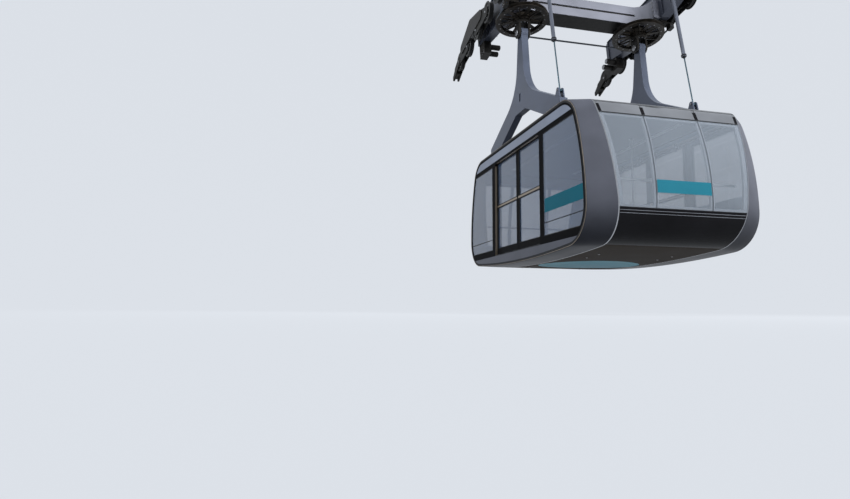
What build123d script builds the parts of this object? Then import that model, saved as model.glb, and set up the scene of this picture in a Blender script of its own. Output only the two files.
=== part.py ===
"""Cable car cabin on a wide-gauge carriage that rides two track ropes.

Millimetres. The rope line between the two track ropes passes through the origin,
+X points uphill along the cabin, +Y to the left side and +Z up.
"""
import os
from math import asin, cos, hypot, radians, sin, sqrt, tan

from build123d import *

os.makedirs("parts", exist_ok=True)

# Driving dimensions of the ropeway
rope_gauge = 3800
track_rope_radius = 27
rope_slope = 8
haul_rope_radius = 18
pivot_drop = 410

# Cabin shell: the door sides, the longer body, and the joints between them, which lean outwards
cabin_base_drop = 5030
side_half_width = 1520
body_half_width = 1158
joint_z = 1200
joint_lean = 5.6
side_outline = {"half_length": 2686, "waist_z": 713, "bilge_r": 605, "bow": 4.5,
                "side_r": 4168, "shoulder_z": 2155, "top_z": 2506}
body_outline = {"half_length": 2891, "waist_z": 771, "bilge_r": 659, "bow": 5.07,
                "side_r": 3550, "shoulder_z": 2270, "top_z": 2400}
ring_wall = 40
shell_wall = 50
side_wall = 50
seat_gap = 0.3
past_outline = 200

# Heights on the cabin ends and the door side, from the cabin base
hull_seam_z = 130
end_sill_z = 631
end_head_z = 2129
eave_z = 2330
floor_z = 245
sill_top_z = 250
sill_edge = 15
window_z = (378, 2175)
fascia_z = 2261

# Windows
end_glass_thickness = 12
side_glass_thickness = 8
glass_set_back = 6
pane_joint = 8
pane_seam_y = 486
post_width = 70
rail_depth = 45
rubber_edge = 45

# Doors
door_half_opening = 1090
pillar_width = 150
door_opening_z = (262, 2210)
door_corner = 45
leaf_meeting_gap = 6
leaf_edge_x = 1130
leaf_thickness = 35
leaf_wall_gap = 10
leaf_z = (252, 2245)
leaf_bottom_rail = 153
leaf_top_rail = 40
leaf_stile = 62
mid_rail_z = 1293
mid_rail_height = 50
door_travel = 1020
track_z = 2265
track_web_height = 60
track_plate = 10
track_depth = 45
track_end = 90
hook_places = (270, 890)
hook_width = 60
hook_plate = 10
hook_height = 80
door_roller_radius = 18

# Floor deck and interior
deck_section_height = 300
deck_root_y = 1000
deck_wing_x = (2400, 1780)
deck_side_gap = 10
deck_wing_thickness = 40
pole_x = 900
pole_y = 450
rail_radius = 20
rail_stay_radius = 12
end_rail_x = 2650
end_rail_z = 1100
end_rail_half_length = 1100

# Hangers and the roof beams under them
hanger_y = 1320
hanger_thickness = 140
hanger_head_radius = 110
hanger_neck_half = 80
hanger_waist_half = 220
hanger_foot_z = 2540
hanger_foot_x = (1150, 1660)
hanger_toe = 150
hanger_arm_slope = 26.5
hanger_fillet = 890
arch_top_z = 3000
arch_fillet = 300
hanger_slot = (-20, 3300)
slot_length = 165
slot_width = 45
roof_beam_half_length = 1760
roof_beam_width = 150
roof_beam_depth = 150
pin_radius = 45
pin_running_gap = 0.05
pin_head = 15

# Swing dampers, at the uphill end
damper_eye = (1530, 2860)
damper_top = (1050, 5400)
damper_eye_radius = 35
damper_eye_width = 60
damper_rod_radius = 12
damper_tube_radius = 34
damper_collar_radius = 46
damper_collar_height = 45
damper_collar_from_eye = 1000
damper_rod_inside = 900
damper_closed_end = 120
damper_pin_radius = 25
damper_top_radius = 45
damper_top_width = 70
ear_plate = 20
ear_half_base = 90
ear_radius = 48

# Roller trains
roller_count = 8
roller_pitch = 620
roller_flange_radius = 215
roller_tread_radius = 190
roller_width = 90
groove_mouth = 74
groove_floor = 54
axle_radius = 30
cheek_gap = 5
cheek_plate = 14
cheek_boss_radius = 110
rocker_plate = 16
rocker_pin_n = 360
rocker_pin_radius = 35
plate_boss_radius = 110
main_pin_n = 520
main_pin_radius = 45
main_boss_radius = 150
keeper_plate = 12
keeper_tip_s = 2640
keeper_length = 230
keeper_root_n = 130
keeper_tip_n = 60
keeper_boss_radius = 90
rope_clearance = 5

# Carriage frame
side_beam_y = (1520, 1720)
side_beam_half_length = 1480
side_beam_deep_half = 550
side_beam_top = 680
side_beam_end_n = 200
side_beam_corner = 120
cross_beam_half_width = 200
cross_beam_n = (10, 420)
flare_depth = 130
flare_width = 300
flare_radius = 280
groove_height = 45
groove_depth = 35
groove_half_length = 1150

# Pivot forks and haul sheaves
post_radius = 90
crown_radius = 150
crown_height = 60
fork_half_width = 110
fork_plate = 35
fork_gap = 10
sheave_n = -100
sheave_pitch_radius = 500
sheave_rim_inner = 425
sheave_rim_outer = 525
sheave_rim_width = 80
sheave_mouth = 70
sheave_groove_floor = 26
sheave_hub_radius = 170
sheave_hub_width = 130
sheave_web = 22
spoke_edge = 15
spoke_count = 6
spoke_width = 70
rope_groove_gap = 0.5

# Haul-rope guides and anchors
guide_s = (330, 450)
guide_half = 45
guide_arm = 25
anchor_set_in = 20
anchor_s = (-1450, -1150)
anchor_n = -140
anchor_bore_n = -90
anchor_bore_length = 200
drum_places = ((-1370, -20), (-1230, 50))
drum_radius = 58
drum_length = 200


def cabin_z(height):
    """Height over the cabin base, in the part's frame."""
    return height - cabin_base_drop


def tangent_outline(half_length, waist_z, bilge_r, bow, side_r, shoulder_z, top_z, inset=0):
    """Corner points and arc middles of a cabin outline, from the keel round to the top."""
    lean = asin((shoulder_z - waist_z) / side_r)
    side_x = half_length - side_r
    roof_r = (top_z - shoulder_z) / (1 - sin(lean))
    roof_centre = (side_x + (side_r - roof_r) * cos(lean), top_z - roof_r)
    bilge_x = half_length - bilge_r
    heel_turn = radians(bow - 90)
    keel_r = bilge_x / sin(radians(bow)) + bilge_r
    keel_centre = (0, waist_z + bilge_x / tan(radians(bow)))

    def on_arc(centre, radius, turn):
        reach = radius - inset
        return (centre[0] + reach * cos(turn), cabin_z(centre[1] + reach * sin(turn)))

    return {
        "keel": on_arc(keel_centre, keel_r, radians(-90)),
        "heel": on_arc((bilge_x, waist_z), bilge_r, heel_turn),
        "bilge_middle": on_arc((bilge_x, waist_z), bilge_r, heel_turn / 2),
        "waist": on_arc((side_x, waist_z), side_r, 0),
        "side_middle": on_arc((side_x, waist_z), side_r, lean / 2),
        "shoulder": on_arc((side_x, waist_z), side_r, lean),
        "roof_middle": on_arc(roof_centre, roof_r, (lean + radians(90)) / 2),
        "roof_edge": on_arc(roof_centre, roof_r, radians(90)),
    }


def cabin_outline(sizes, inset=0):
    """Closed outline of the cabin as eight tangent edges, in the sketch's X and Z."""
    p = tangent_outline(**sizes, inset=inset)
    m = {name: (-x, z) for name, (x, z) in p.items()}
    with BuildLine() as outline:
        ThreePointArc(m["heel"], p["keel"], p["heel"])
        ThreePointArc(p["heel"], p["bilge_middle"], p["waist"])
        ThreePointArc(p["waist"], p["side_middle"], p["shoulder"])
        ThreePointArc(p["shoulder"], p["roof_middle"], p["roof_edge"])
        Line(p["roof_edge"], m["roof_edge"])
        ThreePointArc(m["roof_edge"], m["roof_middle"], m["shoulder"])
        ThreePointArc(m["shoulder"], m["side_middle"], m["waist"])
        ThreePointArc(m["waist"], m["bilge_middle"], m["heel"])
    return outline.line


def body_face_x(height, inset):
    """X of the body outline's side at a height over its waist, drawn in by inset."""
    rise = height - body_outline["waist_z"]
    reach = body_outline["side_r"] - inset
    return body_outline["half_length"] - body_outline["side_r"] + sqrt(reach ** 2 - rise ** 2)


def side_plane(y):
    """Upright plane along the cabin at Y, with its x uphill and its y up."""
    return Plane(origin=(0, y, 0), x_dir=(1, 0, 0), z_dir=(0, -1, 0))


def outline_sketch(sizes, inset=0, y=0):
    """Filled cabin outline at Y, drawn in by inset."""
    with BuildSketch(side_plane(y)) as sketch:
        with BuildLine():
            add(cabin_outline(sizes, inset))
        make_face()
    return sketch.sketch


def band_sketch(z_range, insets, y):
    """Wall of the body outline between two heights, from one inset to the other, at Y."""
    low, high = z_range
    with BuildSketch(side_plane(y)) as sketch:
        add(outline_sketch(body_outline, insets[0], y))
        add(outline_sketch(body_outline, insets[1], y), mode=Mode.SUBTRACT)
        with Locations((0, cabin_z((low + high) / 2))):
            Rectangle(2 * far_x, high - low, mode=Mode.INTERSECT)
    return sketch.sketch


def side_span(side, inner, outer):
    """Lowest and highest Y of a layer between two distances from the middle."""
    return (inner, outer) if side > 0 else (-outer, -inner)


def joint_y(height, inset=0):
    """Distance from the middle to a leaning joint at a height, drawn in by inset."""
    return body_half_width + (height - joint_z) * tan(radians(joint_lean)) - inset


def between_joints():
    """Front view of the room between the two leaning joints, a little past the cabin."""
    low, high = cabin_z(below_cabin), cabin_z(above_cabin)
    with BuildSketch(Plane.YZ) as room:
        with BuildLine():
            Polyline((-joint_y(below_cabin), low), (joint_y(below_cabin), low),
                     (joint_y(above_cabin), high), (-joint_y(above_cabin), high), close=True)
        make_face()
    return room.sketch


def joint_face(side, inset):
    """Body outline as a leaning joint cuts it, drawn in by inset."""
    body = extrude(outline_sketch(body_outline, inset, side_half_width),
                   amount=2 * side_half_width, mode=Mode.PRIVATE)
    tilt = radians(joint_lean)
    joint = Plane(origin=(0, side * body_half_width, cabin_z(joint_z)), x_dir=(1, 0, 0),
                  z_dir=(0, side * cos(tilt), -sin(tilt)))
    return section(body, section_by=joint).face()


def ring_faces(side, inset_at_side, inset_at_body):
    """The two faces a ring runs between: the door side's outline and the leaning joint."""
    return [outline_sketch(side_outline, inset_at_side, side * side_half_width).face(),
            joint_face(side, inset_at_body)]


def finish(part, label):
    """Name a finished piece and write it."""
    part.label = label
    export_step(part, f"parts/{label}.step")
    print(label, len(part.solids()), "solids", round(part.volume / 1e6, 2), "litres")


# Cabin shell between the rings
below_cabin = -past_outline
above_cabin = side_outline["top_z"] + past_outline
far_x = body_outline["half_length"] + past_outline
cabin_width = 2 * side_half_width
whole_width = (-side_half_width, side_half_width)
pane_spans = [(-side_half_width, -pane_seam_y - pane_joint / 2),
              (-pane_seam_y + pane_joint / 2, pane_seam_y - pane_joint / 2),
              (pane_seam_y + pane_joint / 2, side_half_width)]

# Name, height range, insets and Y spans of each band of the shell
shell_bands = (
    ("belly_pan", (below_cabin, hull_seam_z), (0, shell_wall), [whole_width]),
    ("end_panels", (hull_seam_z, end_sill_z), (0, shell_wall), [whole_width]),
    ("end_glass", (end_sill_z, end_head_z), (0, end_glass_thickness), pane_spans),
    ("upper_panels", (end_head_z, eave_z), (0, shell_wall), pane_spans),
    ("roof", (eave_z, above_cabin), (0, shell_wall), [whole_width]),
)
for name, z_range, insets, spans in shell_bands:
    with BuildPart() as band:
        for low, high in spans:
            extrude(band_sketch(z_range, insets, high), amount=high - low)
        extrude(between_joints(), amount=far_x, both=True, mode=Mode.INTERSECT)
    finish(band.part, name)

# End window frames: curved posts and rails behind the panes
window_bottom = end_sill_z + rail_depth
window_top = end_head_z - rail_depth
with BuildPart() as end_frames:
    posts_and_rails = band_sketch((end_sill_z, end_head_z),
                                  (end_glass_thickness + seat_gap, shell_wall), side_half_width)
    extrude(posts_and_rails, amount=cabin_width)
    extrude(between_joints(), amount=far_x, both=True, mode=Mode.INTERSECT)
    low, high = cabin_z(window_bottom), cabin_z(window_top)
    with BuildSketch(Plane.YZ):
        with Locations((0, (low + high) / 2)):
            Rectangle(2 * pane_seam_y - post_width, high - low)
        for side in (-1, 1):
            post_y = side * (pane_seam_y + post_width / 2)
            with BuildLine():
                Polyline((post_y, low), (side * joint_y(window_bottom, post_width), low),
                         (side * joint_y(window_top, post_width), high), (post_y, high), close=True)
            make_face()
    extrude(amount=far_x, both=True, mode=Mode.SUBTRACT)
finish(end_frames.part, "end_frames")

# Floor deck: a sandwich floor on the belly, with wings out to the door sides
wall_inner_y = side_half_width - side_wall
deck_half_width = wall_inner_y - deck_side_gap
with BuildPart() as floor_deck:
    with BuildSketch(side_plane(side_half_width)):
        add(outline_sketch(body_outline, shell_wall + seat_gap, side_half_width))
        with Locations((0, cabin_z(floor_z - deck_section_height / 2))):
            Rectangle(2 * far_x, deck_section_height, mode=Mode.INTERSECT)
    extrude(amount=cabin_width)
    extrude(between_joints(), amount=far_x, both=True, mode=Mode.INTERSECT)
    with BuildSketch(Plane.XY.offset(cabin_z(floor_z))):
        for side in (1, -1):
            with BuildLine():
                Polyline((-deck_wing_x[0], side * deck_root_y),
                         (deck_wing_x[0], side * deck_root_y),
                         (deck_wing_x[1], side * deck_half_width),
                         (-deck_wing_x[1], side * deck_half_width), close=True)
            make_face()
    extrude(amount=-deck_wing_thickness)
finish(floor_deck.part, "floor_deck")

# Side rings: wide lofted bands from the door side out to the body, one each side
for side, name in ((-1, "ring_right"), (1, "ring_left")):
    with BuildPart() as ring:
        for inset_at_side, inset_at_body, mode in ((0, 0, Mode.ADD),
                                                   (ring_wall, shell_wall, Mode.SUBTRACT)):
            loft(ring_faces(side, inset_at_side, inset_at_body), mode=mode)
    finish(ring.part, name)

# Door side: the black frame, its panes, the fascia over the doors and the sill panel
frame_inset = ring_wall + seat_gap
panel_inset = ring_wall + rubber_edge
pillar_x = door_half_opening + pillar_width


def side_region(x_range, z_range, inset, y, shrink=0):
    """Part of the side outline inside a range of X and of height, each drawn in by shrink."""
    low_x, high_x = x_range
    low_z, high_z = z_range
    with BuildSketch(side_plane(y)) as region:
        add(outline_sketch(side_outline, inset + shrink, y))
        with Locations(((low_x + high_x) / 2, cabin_z((low_z + high_z) / 2))):
            Rectangle(high_x - low_x - 2 * shrink, high_z - low_z - 2 * shrink, mode=Mode.INTERSECT)
    return region.sketch


def doorway_sketch(y):
    """Door opening with its two upper corners cut off, at Y."""
    height = door_opening_z[1] - door_opening_z[0]
    with BuildSketch(side_plane(y)) as doorway:
        with Locations((0, cabin_z(door_opening_z[0] + height / 2))):
            Rectangle(2 * door_half_opening, height)
        chamfer(doorway.vertices().group_by(Axis.Y)[-1], door_corner)
    return doorway.sketch


fascia_region = ((-far_x, far_x), (fascia_z, above_cabin), panel_inset)
sill_region = ((-far_x, far_x), (below_cabin, sill_top_z), ring_wall + sill_edge)
window_regions = (((pillar_x, far_x), window_z, panel_inset),
                  ((-far_x, -pillar_x), window_z, panel_inset))

for side, name, outer_part in ((-1, "side_frame_right", Keep.TOP), (1, "side_frame_left", Keep.BOTTOM)):
    span = side_span(side, wall_inner_y, side_half_width)
    with BuildPart() as side_frame:
        loft(ring_faces(side, frame_inset, shell_wall + seat_gap))
        split(bisect_by=side_plane(side * wall_inner_y), keep=outer_part)
        with BuildSketch(side_plane(span[1])):
            for region in (fascia_region, sill_region, *window_regions):
                add(side_region(*region, span[1]))
            add(doorway_sketch(span[1]))
        extrude(amount=side_wall, mode=Mode.SUBTRACT)
    finish(side_frame.part, name)

for name, regions, inner, outer in (
        ("fascias", (fascia_region,), wall_inner_y, side_half_width),
        ("sill_panels", (sill_region,), wall_inner_y, side_half_width),
        ("side_glass", window_regions, side_half_width - glass_set_back - side_glass_thickness,
         side_half_width - glass_set_back)):
    with BuildPart() as infill:
        for side in (-1, 1):
            span = side_span(side, inner, outer)
            for region in regions:
                extrude(side_region(*region, span[1], shrink=seat_gap), amount=outer - inner)
    finish(infill.part, name)

# Door tracks: angle rails on the wall over the doors, out to the far hooks of open leaves
track_half_length = hook_places[1] + hook_width / 2 + door_travel + track_end
with BuildPart() as door_tracks:
    for side in (-1, 1):
        for inner, outer, low in ((wall_inner_y - track_depth, wall_inner_y, track_z),
                                  (wall_inner_y - track_plate, wall_inner_y, track_z + track_plate)):
            height = track_plate if low == track_z else track_web_height
            with Locations((0, side * (inner + outer) / 2, cabin_z(low + height / 2))):
                Box(2 * track_half_length, outer - inner, height)
finish(door_tracks.part, "door_tracks")

# Sliding leaves: frame, two rollers on hooks over the track, and two panes each
leaf_outer_y = wall_inner_y - leaf_wall_gap
leaf_inner_y = leaf_outer_y - leaf_thickness
hook_outer_y = leaf_inner_y - hook_plate
hook_inner_y = hook_outer_y - hook_plate
roller_z = track_z + track_plate + seat_gap + door_roller_radius
hook_bottom_z = cabin_z(leaf_z[1] - hook_height)
hook_bend_z = cabin_z(leaf_z[1] - hook_plate)
hook_top_z = cabin_z(roller_z + door_roller_radius + hook_plate)
leaf_names = {(1, 1): "left_front", (1, -1): "left_rear", (-1, 1): "right_front", (-1, -1): "right_rear"}
leaf_glass_x = (leaf_meeting_gap / 2 + leaf_stile, leaf_edge_x - leaf_stile)
leaf_glass_z = ((leaf_z[0] + leaf_bottom_rail, mid_rail_z - mid_rail_height / 2),
                (mid_rail_z + mid_rail_height / 2, leaf_z[1] - leaf_top_rail))
for (side, end), place in leaf_names.items():
    span = side_span(side, leaf_inner_y, leaf_outer_y)
    with BuildPart() as leaf:
        with BuildSketch(side_plane(span[1])):
            with Locations((end * (leaf_meeting_gap / 2 + leaf_edge_x) / 2,
                            cabin_z((leaf_z[0] + leaf_z[1]) / 2))):
                Rectangle(leaf_edge_x - leaf_meeting_gap / 2, leaf_z[1] - leaf_z[0])
            for low, high in leaf_glass_z:
                with Locations((end * (leaf_glass_x[0] + leaf_glass_x[1]) / 2,
                                cabin_z((low + high) / 2))):
                    Rectangle(leaf_glass_x[1] - leaf_glass_x[0], high - low, mode=Mode.SUBTRACT)
        extrude(amount=leaf_thickness)
        for hook_x in hook_places:
            with BuildSketch(Plane.YZ.offset(end * hook_x - hook_width / 2)):
                with BuildLine():
                    Polyline((side * leaf_inner_y, hook_bottom_z), (side * hook_inner_y, hook_bottom_z),
                             (side * hook_inner_y, hook_top_z), (side * hook_outer_y, hook_top_z),
                             (side * hook_outer_y, hook_bend_z), (side * leaf_inner_y, hook_bend_z),
                             close=True)
                make_face()
            extrude(amount=hook_width)
            roller_span = side_span(side, hook_outer_y, leaf_outer_y - hook_plate)
            with BuildSketch(side_plane(roller_span[1])):
                with Locations((end * hook_x, cabin_z(roller_z))):
                    Circle(door_roller_radius)
            extrude(amount=roller_span[1] - roller_span[0])
    finish(leaf.part, f"door_{place}")

    middle_y = (leaf_inner_y + leaf_outer_y) / 2
    span = side_span(side, middle_y - side_glass_thickness / 2, middle_y + side_glass_thickness / 2)
    with BuildPart() as leaf_glass:
        with BuildSketch(side_plane(span[1])):
            for low, high in leaf_glass_z:
                with Locations((end * (leaf_glass_x[0] + leaf_glass_x[1]) / 2,
                                cabin_z((low + high) / 2))):
                    Rectangle(leaf_glass_x[1] - leaf_glass_x[0] - 2 * seat_gap,
                              high - low - 2 * seat_gap)
        extrude(amount=side_glass_thickness)
    finish(leaf_glass.part, f"door_glass_{place}")

# Grab poles between floor and ceiling, and rails along both end windows
ceiling_z = body_outline["top_z"] - shell_wall
with BuildPart() as grab_rails:
    with BuildSketch(Plane.XY.offset(cabin_z(floor_z))):
        with GridLocations(2 * pole_x, 2 * pole_y, 2, 2):
            Circle(rail_radius)
    extrude(amount=ceiling_z - floor_z)
    for end in (1, -1):
        with BuildSketch(side_plane(end_rail_half_length)):
            with Locations((end * end_rail_x, cabin_z(end_rail_z))):
                Circle(rail_radius)
        extrude(amount=2 * end_rail_half_length)
        for y in (-pane_seam_y, pane_seam_y):
            with BuildSketch(Plane(origin=(end * end_rail_x, y, cabin_z(end_rail_z)),
                                   x_dir=(0, 1, 0), z_dir=(end, 0, 0))):
                Circle(rail_stay_radius)
            extrude(amount=body_face_x(end_rail_z + rail_stay_radius, shell_wall) - end_rail_x - seat_gap)
finish(grab_rails.part, "grab_rails")

# Roof beams: flat seats for the hangers, cut to the slope of the rings and the roof
with BuildPart() as roof_beams:
    for side in (-1, 1):
        with Locations((0, side * hanger_y, cabin_z(hanger_foot_z - roof_beam_depth / 2))):
            Box(2 * roof_beam_half_length, roof_beam_width, roof_beam_depth)
        loft(ring_faces(side, -seat_gap, -seat_gap), mode=Mode.SUBTRACT)
    extrude(outline_sketch(body_outline, -seat_gap, side_half_width), amount=cabin_width,
            mode=Mode.SUBTRACT)
finish(roof_beams.part, "roof_beams")

# The pivot, square under the rope line, and the carriage frame that leans with the rope
lean = radians(rope_slope)
pivot_z = -pivot_drop / cos(lean)
pivot_height = pivot_z + cabin_base_drop
carriage_origin = (-pivot_drop * sin(lean), 0, pivot_z + pivot_drop * cos(lean))
uphill = (cos(lean), 0, sin(lean))
upward = (-sin(lean), 0, cos(lean))


def carriage_point(s, y, n):
    """Point s along the rope, Y across and n square over the rope line."""
    return (carriage_origin[0] + s * uphill[0] + n * upward[0], y,
            carriage_origin[2] + s * uphill[2] + n * upward[2])


def carriage_side(y):
    """Upright plane along the rope at Y, with x along the rope and y square to it."""
    return Plane(origin=carriage_point(0, y, 0), x_dir=uphill, z_dir=(0, -1, 0))


def carriage_deck(n):
    """Plane parallel to the rope, n over the rope line, with y to the left."""
    return Plane(origin=carriage_point(0, 0, n), x_dir=uphill, z_dir=upward)


# Hangers: a flared box column on two arms that arch over the roof, with the damper's ears
arm_slope = tan(radians(hanger_arm_slope))
toe_z = hanger_foot_z + hanger_toe
waist_z = toe_z + (hanger_foot_x[1] - hanger_waist_half) * arm_slope
arch_x = hanger_foot_x[0] - (arch_top_z - hanger_foot_z) / arm_slope
half_profile = (
    (hanger_neck_half, pivot_height),
    (hanger_waist_half, waist_z),
    (hanger_foot_x[1], toe_z),
    (hanger_foot_x[1], hanger_foot_z),
    (hanger_foot_x[0], hanger_foot_z),
    (arch_x, arch_top_z),
)
hanger_outline = [(x, cabin_z(z)) for x, z in half_profile]
hanger_outline += [(-x, z) for x, z in reversed(hanger_outline)]
eye_x, eye_z = damper_eye[0], cabin_z(damper_eye[1])
ear_base_x = (eye_x - ear_half_base, eye_x + ear_half_base)
ear_root = [(x, cabin_z(toe_z + (hanger_foot_x[1] - x) * arm_slope - ear_plate)) for x in ear_base_x]
for side, name in ((-1, "hanger_right"), (1, "hanger_left")):
    outer_y = side * hanger_y + hanger_thickness / 2
    with BuildPart() as hanger:
        with BuildSketch(side_plane(outer_y)) as plate:
            with BuildLine():
                Polyline(*hanger_outline, close=True)
            make_face()
            corners = plate.vertices()
            waists = [v for v in corners if abs(abs(v.X) - hanger_waist_half) < 1]
            arches = [v for v in corners if abs(abs(v.X) - arch_x) < 1]
            fillet(waists, hanger_fillet)
            fillet(arches, arch_fillet)
            with Locations((0, pivot_z)):
                Circle(hanger_head_radius)
                Circle(pin_radius + pin_running_gap, mode=Mode.SUBTRACT)
            with Locations((hanger_slot[0], cabin_z(hanger_slot[1]))):
                SlotOverall(slot_length, slot_width, rotation=90, mode=Mode.SUBTRACT)
        extrude(amount=hanger_thickness)
        for offset_y in (damper_eye_width / 2 + seat_gap + ear_plate, -damper_eye_width / 2 - seat_gap):
            with BuildSketch(side_plane(side * hanger_y + offset_y)):
                with BuildLine():
                    Polyline(ear_root[0], (eye_x - ear_radius, eye_z), (eye_x + ear_radius, eye_z),
                             ear_root[1], close=True)
                make_face()
                with Locations((eye_x, eye_z)):
                    Circle(ear_radius)
            extrude(amount=ear_plate)
    finish(hanger.part, name)

# Swing dampers: a rod with its eye between the hanger's ears, and a tube hung from the carriage
top_x, top_z = damper_top[0], cabin_z(damper_top[1])
damper_length = hypot(top_x - eye_x, top_z - eye_z)
along_damper = ((top_x - eye_x) / damper_length, 0, (top_z - eye_z) / damper_length)


def damper_plane(y, reach):
    """Plane square across the damper at a reach from its lower eye."""
    return Plane(origin=(eye_x + reach * along_damper[0], y, eye_z + reach * along_damper[2]),
                 x_dir=(0, 1, 0), z_dir=along_damper)


for side, place in ((-1, "right"), (1, "left")):
    y = side * hanger_y
    with BuildPart() as rod:
        with BuildSketch(side_plane(y + damper_eye_width / 2)):
            with Locations((eye_x, eye_z)):
                Circle(damper_eye_radius)
        extrude(amount=damper_eye_width)
        with BuildSketch(damper_plane(y, 0)):
            Circle(damper_rod_radius)
        extrude(amount=damper_collar_from_eye + damper_rod_inside)
    finish(rod.part, f"damper_rod_{place}")

    tube_length = damper_length - damper_collar_from_eye
    with BuildPart() as tube:
        with BuildSketch(damper_plane(y, damper_collar_from_eye)):
            Circle(damper_tube_radius)
        extrude(amount=tube_length)
        with BuildSketch(damper_plane(y, damper_collar_from_eye)):
            Circle(damper_collar_radius)
        extrude(amount=damper_collar_height)
        with BuildSketch(side_plane(y + damper_top_width / 2)):
            with Locations((top_x, top_z)):
                Circle(damper_top_radius)
        extrude(amount=damper_top_width)
        with BuildSketch(side_plane(y + damper_top_width / 2)):
            with Locations((top_x, top_z)):
                Circle(damper_pin_radius + pin_running_gap)
        extrude(amount=damper_top_width, mode=Mode.SUBTRACT)
        with BuildSketch(damper_plane(y, damper_collar_from_eye)):
            Circle(damper_rod_radius + seat_gap)
        extrude(amount=tube_length - damper_closed_end, mode=Mode.SUBTRACT)
    finish(tube.part, f"damper_tube_{place}")

# Carriage side beams, deep in the middle and lighter to the ends
def beam_underside(s):
    """Height of the side beam's lower edge at s along the rope."""
    reach = max(abs(s) - side_beam_deep_half, 0) / (side_beam_half_length - side_beam_deep_half)
    return cross_beam_n[0] + reach * (side_beam_end_n - cross_beam_n[0])


with BuildPart() as side_beams:
    for side in (-1, 1):
        span = side_span(side, *side_beam_y)
        with BuildSketch(carriage_side(span[1])) as beam_side:
            with BuildLine():
                Polyline((-side_beam_half_length, beam_underside(side_beam_half_length)),
                         (-side_beam_deep_half, cross_beam_n[0]),
                         (side_beam_deep_half, cross_beam_n[0]),
                         (side_beam_half_length, beam_underside(side_beam_half_length)),
                         (side_beam_half_length, side_beam_top),
                         (-side_beam_half_length, side_beam_top), close=True)
            make_face()
            fillet(beam_side.vertices().group_by(Axis.Y)[-1], side_beam_corner)
        extrude(amount=span[1] - span[0])
finish(side_beams.part, "side_beams")

# Crossbeam: a box between the side beams, flared where it meets them, grooved along its faces
with BuildPart() as crossbeam:
    with BuildSketch(carriage_deck(cross_beam_n[0])) as deck:
        Rectangle(2 * cross_beam_half_width, 2 * side_beam_y[0])
        for side in (-1, 1):
            with Locations((0, side * (side_beam_y[0] - flare_depth / 2))):
                Rectangle(2 * (cross_beam_half_width + flare_width), flare_depth)
        hollows = [v for v in deck.vertices() if abs(abs(v.X) - cross_beam_half_width) < 1]
        fillet(hollows, flare_radius)
    extrude(amount=cross_beam_n[1] - cross_beam_n[0])
    groove_n = (cross_beam_n[0] + cross_beam_n[1]) / 2
    for face_s in (-cross_beam_half_width, cross_beam_half_width):
        with BuildSketch(carriage_deck(groove_n - groove_height / 2)):
            with Locations((face_s, 0)):
                Rectangle(2 * groove_depth, 2 * groove_half_length)
        extrude(amount=groove_height, mode=Mode.SUBTRACT)
finish(crossbeam.part, "crossbeam")

# Two-roller rockers with their axles, and the rollers on them
roller_n = track_rope_radius + roller_tread_radius
cheek_y = roller_width / 2 + cheek_gap
rocker_count = roller_count // 2
rocker_places = [(i - (rocker_count - 1) / 2) * 2 * roller_pitch for i in range(rocker_count)]
main_places = [(low + high) / 2 for low, high in zip(rocker_places[::2], rocker_places[1::2])]
plate_y = cheek_y + cheek_plate + cheek_gap
with BuildPart() as roller_rockers:
    for side in (-1, 1):
        for place in rocker_places:
            rope_y = side * rope_gauge / 2
            axle_places = (place - roller_pitch / 2, place + roller_pitch / 2)
            for inner in (cheek_y, -cheek_y - cheek_plate):
                with BuildSketch(carriage_side(rope_y + inner + cheek_plate)) as cheek:
                    with Locations(*((s, roller_n) for s in axle_places)):
                        Circle(cheek_boss_radius)
                    with Locations((place, rocker_pin_n)):
                        Circle(cheek_boss_radius)
                    make_hull()
                extrude(amount=cheek_plate)
            for s, n, radius, reach in (
                    (axle_places[0], roller_n, axle_radius, cheek_y + cheek_plate),
                    (axle_places[1], roller_n, axle_radius, cheek_y + cheek_plate),
                    (place, rocker_pin_n, rocker_pin_radius, plate_y + rocker_plate)):
                with BuildSketch(carriage_side(rope_y + reach)):
                    with Locations((s, n)):
                        Circle(radius)
                extrude(amount=2 * reach)
finish(roller_rockers.part, "roller_rockers")

# Main rockers: a plate each side of two roller rockers, on the side beam's pin
with BuildPart() as main_rockers:
    for side in (-1, 1):
        for place in main_places:
            rope_y = side * rope_gauge / 2
            pin_places = ((place - roller_pitch, rocker_pin_n), (place + roller_pitch, rocker_pin_n))
            for inner in (plate_y, -plate_y - rocker_plate):
                with BuildSketch(carriage_side(rope_y + inner + rocker_plate)):
                    with Locations(*pin_places):
                        Circle(plate_boss_radius)
                    with Locations((place, main_pin_n)):
                        Circle(main_boss_radius)
                    make_hull()
                    with Locations(*pin_places):
                        Circle(rocker_pin_radius + seat_gap, mode=Mode.SUBTRACT)
                extrude(amount=rocker_plate)
            span = side_span(side, side_beam_y[1], rope_gauge / 2 + plate_y + rocker_plate)
            with BuildSketch(carriage_side(span[1])):
                with Locations((place, main_pin_n)):
                    Circle(main_pin_radius)
            extrude(amount=span[1] - span[0])
finish(main_rockers.part, "main_rockers")

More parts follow.
